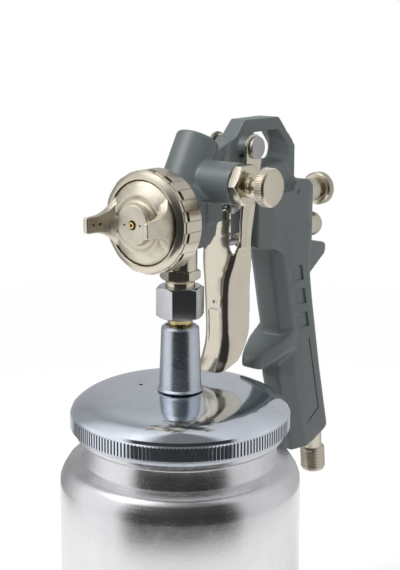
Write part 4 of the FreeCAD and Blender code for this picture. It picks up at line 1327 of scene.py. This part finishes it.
@dataclass
class Studio:
    """The floor, the lamps, the tent that shapes reflections, and the camera.

    Attributes:
        azimuth: Where the camera stands round the gun, in degrees.
        elevation: How high it stands, in degrees.
        distance: Its distance from the spray centre, in metres.
        lens: Its focal length on a 36 mm sensor.
        shift: Its lens shift.
        room: How strongly the room lights the gun.
        lamps: The lamps.
        lamp_distance: Their distance in metres.
        tent_radius: Radius of the round tent that shows in the metal, in metres.
        tent_height: Its height, in metres.
        low_levels: The tent's brightness by azimuth, up to the gun's height.
        high_levels: Its brightness by azimuth above that.
    """

    azimuth: float = 39.55
    elevation: float = 9.56
    distance: float = 0.51024
    lens: float = 72.81
    shift: tuple[float, float] = (0.03474, -0.12161)
    room: float = 0.46
    lamps: tuple[Lamp, ...] = (Lamp(-25.0, 55.0, 0.45, 7.5, gleam=True), Lamp(75.0, 40.0, 0.6, 2.4),
                               Lamp(200.0, 45.0, 0.8, 3.0))
    lamp_distance: float = 0.9
    tent_radius: float = 0.3
    tent_height: float = 0.5
    low_levels: list[tuple[float, float]] = field(default_factory=lambda: [
        (-180, 0.50), (180, 0.50), (-140, 0.50), (-100, 0.34), (-80, 0.40), (-66, 0.72), (-52, 1.0),
        (-16, 1.0), (-4, 0.05), (86, 0.035), (96, 0.70), (128, 0.76), (146, 0.60)])
    high_levels: list[tuple[float, float]] = field(default_factory=lambda: [
        (-180, 0.56), (180, 0.56), (-120, 0.55), (-90, 0.35), (-66, 0.75), (-20, 0.85), (4, 0.22), (84, 0.20),
        (100, 0.72), (150, 0.60)])

    def direction(self, azimuth: float, elevation: float) -> Vector:
        """Return the unit vector from the gun towards a place in the studio."""
        turn, rise = math.radians(azimuth), math.radians(elevation)
        return Vector((math.sin(turn) * math.cos(rise), -math.cos(turn) * math.cos(rise), math.sin(rise)))

    def camera(self) -> None:
        """Add the camera and make it the scene's."""
        pick()
        centre = Vector((0.0, 0.0, SPRAY_HEIGHT * MM))
        back = self.direction(self.azimuth, self.elevation)
        bpy.ops.object.camera_add(location=centre + back * self.distance)
        camera = bpy.context.object
        camera.rotation_euler = (-back).to_track_quat("-Z", "Y").to_euler()
        camera.data.lens = self.lens
        camera.data.shift_x, camera.data.shift_y = self.shift
        camera.data.clip_start = 0.01
        bpy.context.scene.camera = camera

    def world(self) -> None:
        """Light the room evenly, and show it white behind the gun and in its metal."""
        world = bpy.data.worlds.new("studio")
        bpy.context.scene.world = world
        world.use_nodes = True
        nodes = Nodes(world.node_tree)
        background = nodes.tree.nodes["Background"]
        nodes.put(background.inputs["Color"], WHITE)
        nodes.put(background.inputs["Strength"], nodes.seen() * (1.0 - self.room) + self.room)

    def floor(self) -> None:
        """Lay the pale floor, which shows white with the gun's shadow on it."""
        pick()
        bpy.ops.mesh.primitive_plane_add(size=8.0, location=(0.0, 0.0, -0.0002))
        floor = name_new("floor")
        shader = Shader("pale_floor")
        shader.set(Base_Color=(0.86, 0.86, 0.86, 1.0), Roughness=0.9, Specular_IOR_Level=0.1)
        across, along, _ = shader.axes(shader.place())
        distance = (across * across + along * along) ** 0.5
        share = shader.seen() * (distance.steep(0.08, 0.9) * 0.55 + 0.45)
        mix = shader.add("ShaderNodeMixShader", None, {0: share, 1: shader.surface.outputs[0],
                                                       2: shader.glow(WHITE)})
        shader.show(mix.outputs[0])
        floor.data.materials.append(shader.material)

    def hang(self, lamp: Lamp) -> None:
        """Hang one soft lamp round the gun, looking at it."""
        pick()
        centre = Vector((0.0, 0.03, 0.17))
        back = self.direction(lamp.azimuth, lamp.elevation)
        bpy.ops.object.light_add(type="AREA", location=centre + back * self.lamp_distance)
        light = bpy.context.object
        light.rotation_euler = (-back).to_track_quat("-Z", "Y").to_euler()
        light.data.shape = "DISK"
        light.data.size = lamp.size
        light.data.energy = lamp.power
        light.visible_glossy = lamp.gleam

    def tent(self) -> None:
        """Put up a round tent of softboxes and dark flats that only shows in the metal's reflections."""
        pick()
        radius, tall = self.tent_radius, self.tent_height
        bpy.ops.mesh.primitive_uv_sphere_add(segments=96, ring_count=48, radius=radius,
                                             scale=(1.0, 1.0, tall / radius), location=(0.0, 0.02, 0.0))
        tent = name_new("reflection_tent")
        shader = Shader("softboxes_and_flats")
        across, along, up = shader.axes(shader.place())
        turn = across.made("ARCTAN2", across, along * -1.0) * (0.5 / math.pi) + 0.5
        low, high = (self.ramp(shader, turn, levels) for levels in (self.low_levels, self.high_levels))
        mix = shader.add("ShaderNodeMix", {"data_type": "RGBA"}, {0: up.steep(0.28, 0.36), 6: low, 7: high})
        shader.show(shader.glow(mix.outputs[2]))
        tent.data.materials.append(shader.material)
        tent.visible_camera = False
        tent.visible_diffuse = False
        tent.visible_shadow = False
        tent.visible_transmission = False

    def ramp(self, shader: Shader, turn: Value, levels: list[tuple[float, float]]) -> bpy.types.NodeSocket:
        """Return a grey that follows (azimuth, level) stops round the gun."""
        node = shader.add("ShaderNodeValToRGB", None, {0: turn})
        stops = node.color_ramp.elements
        for index, (azimuth, level) in enumerate(levels):
            stop = stops[index] if index < 2 else stops.new(1.0)
            stop.position = azimuth / 360.0 + 0.5
            stop.color = (level, level, level * 1.02, 1.0)
        return node.outputs[0]

    def build(self) -> None:
        """Set up the whole studio."""
        self.world()
        self.floor()
        for lamp in self.lamps:
            self.hang(lamp)
        self.tent()
        bpy.context.scene.view_settings.view_transform = "Standard"
        log.info("studio: floor, lamps and tent")


def main() -> None:
    """Build the studio and every sub-assembly in order."""
    logging.basicConfig(level=logging.INFO, format="%(message)s")
    studio = Studio()
    studio.camera()
    for part in (Casting(), CapRing(), AirCap(), PatternValve(), RearControls(), Trigger(), FluidLine(),
                 CupAndLid(), Inlet(), Insides()):
        part.build()
    studio.build()


if __name__ == "__main__":
    main()
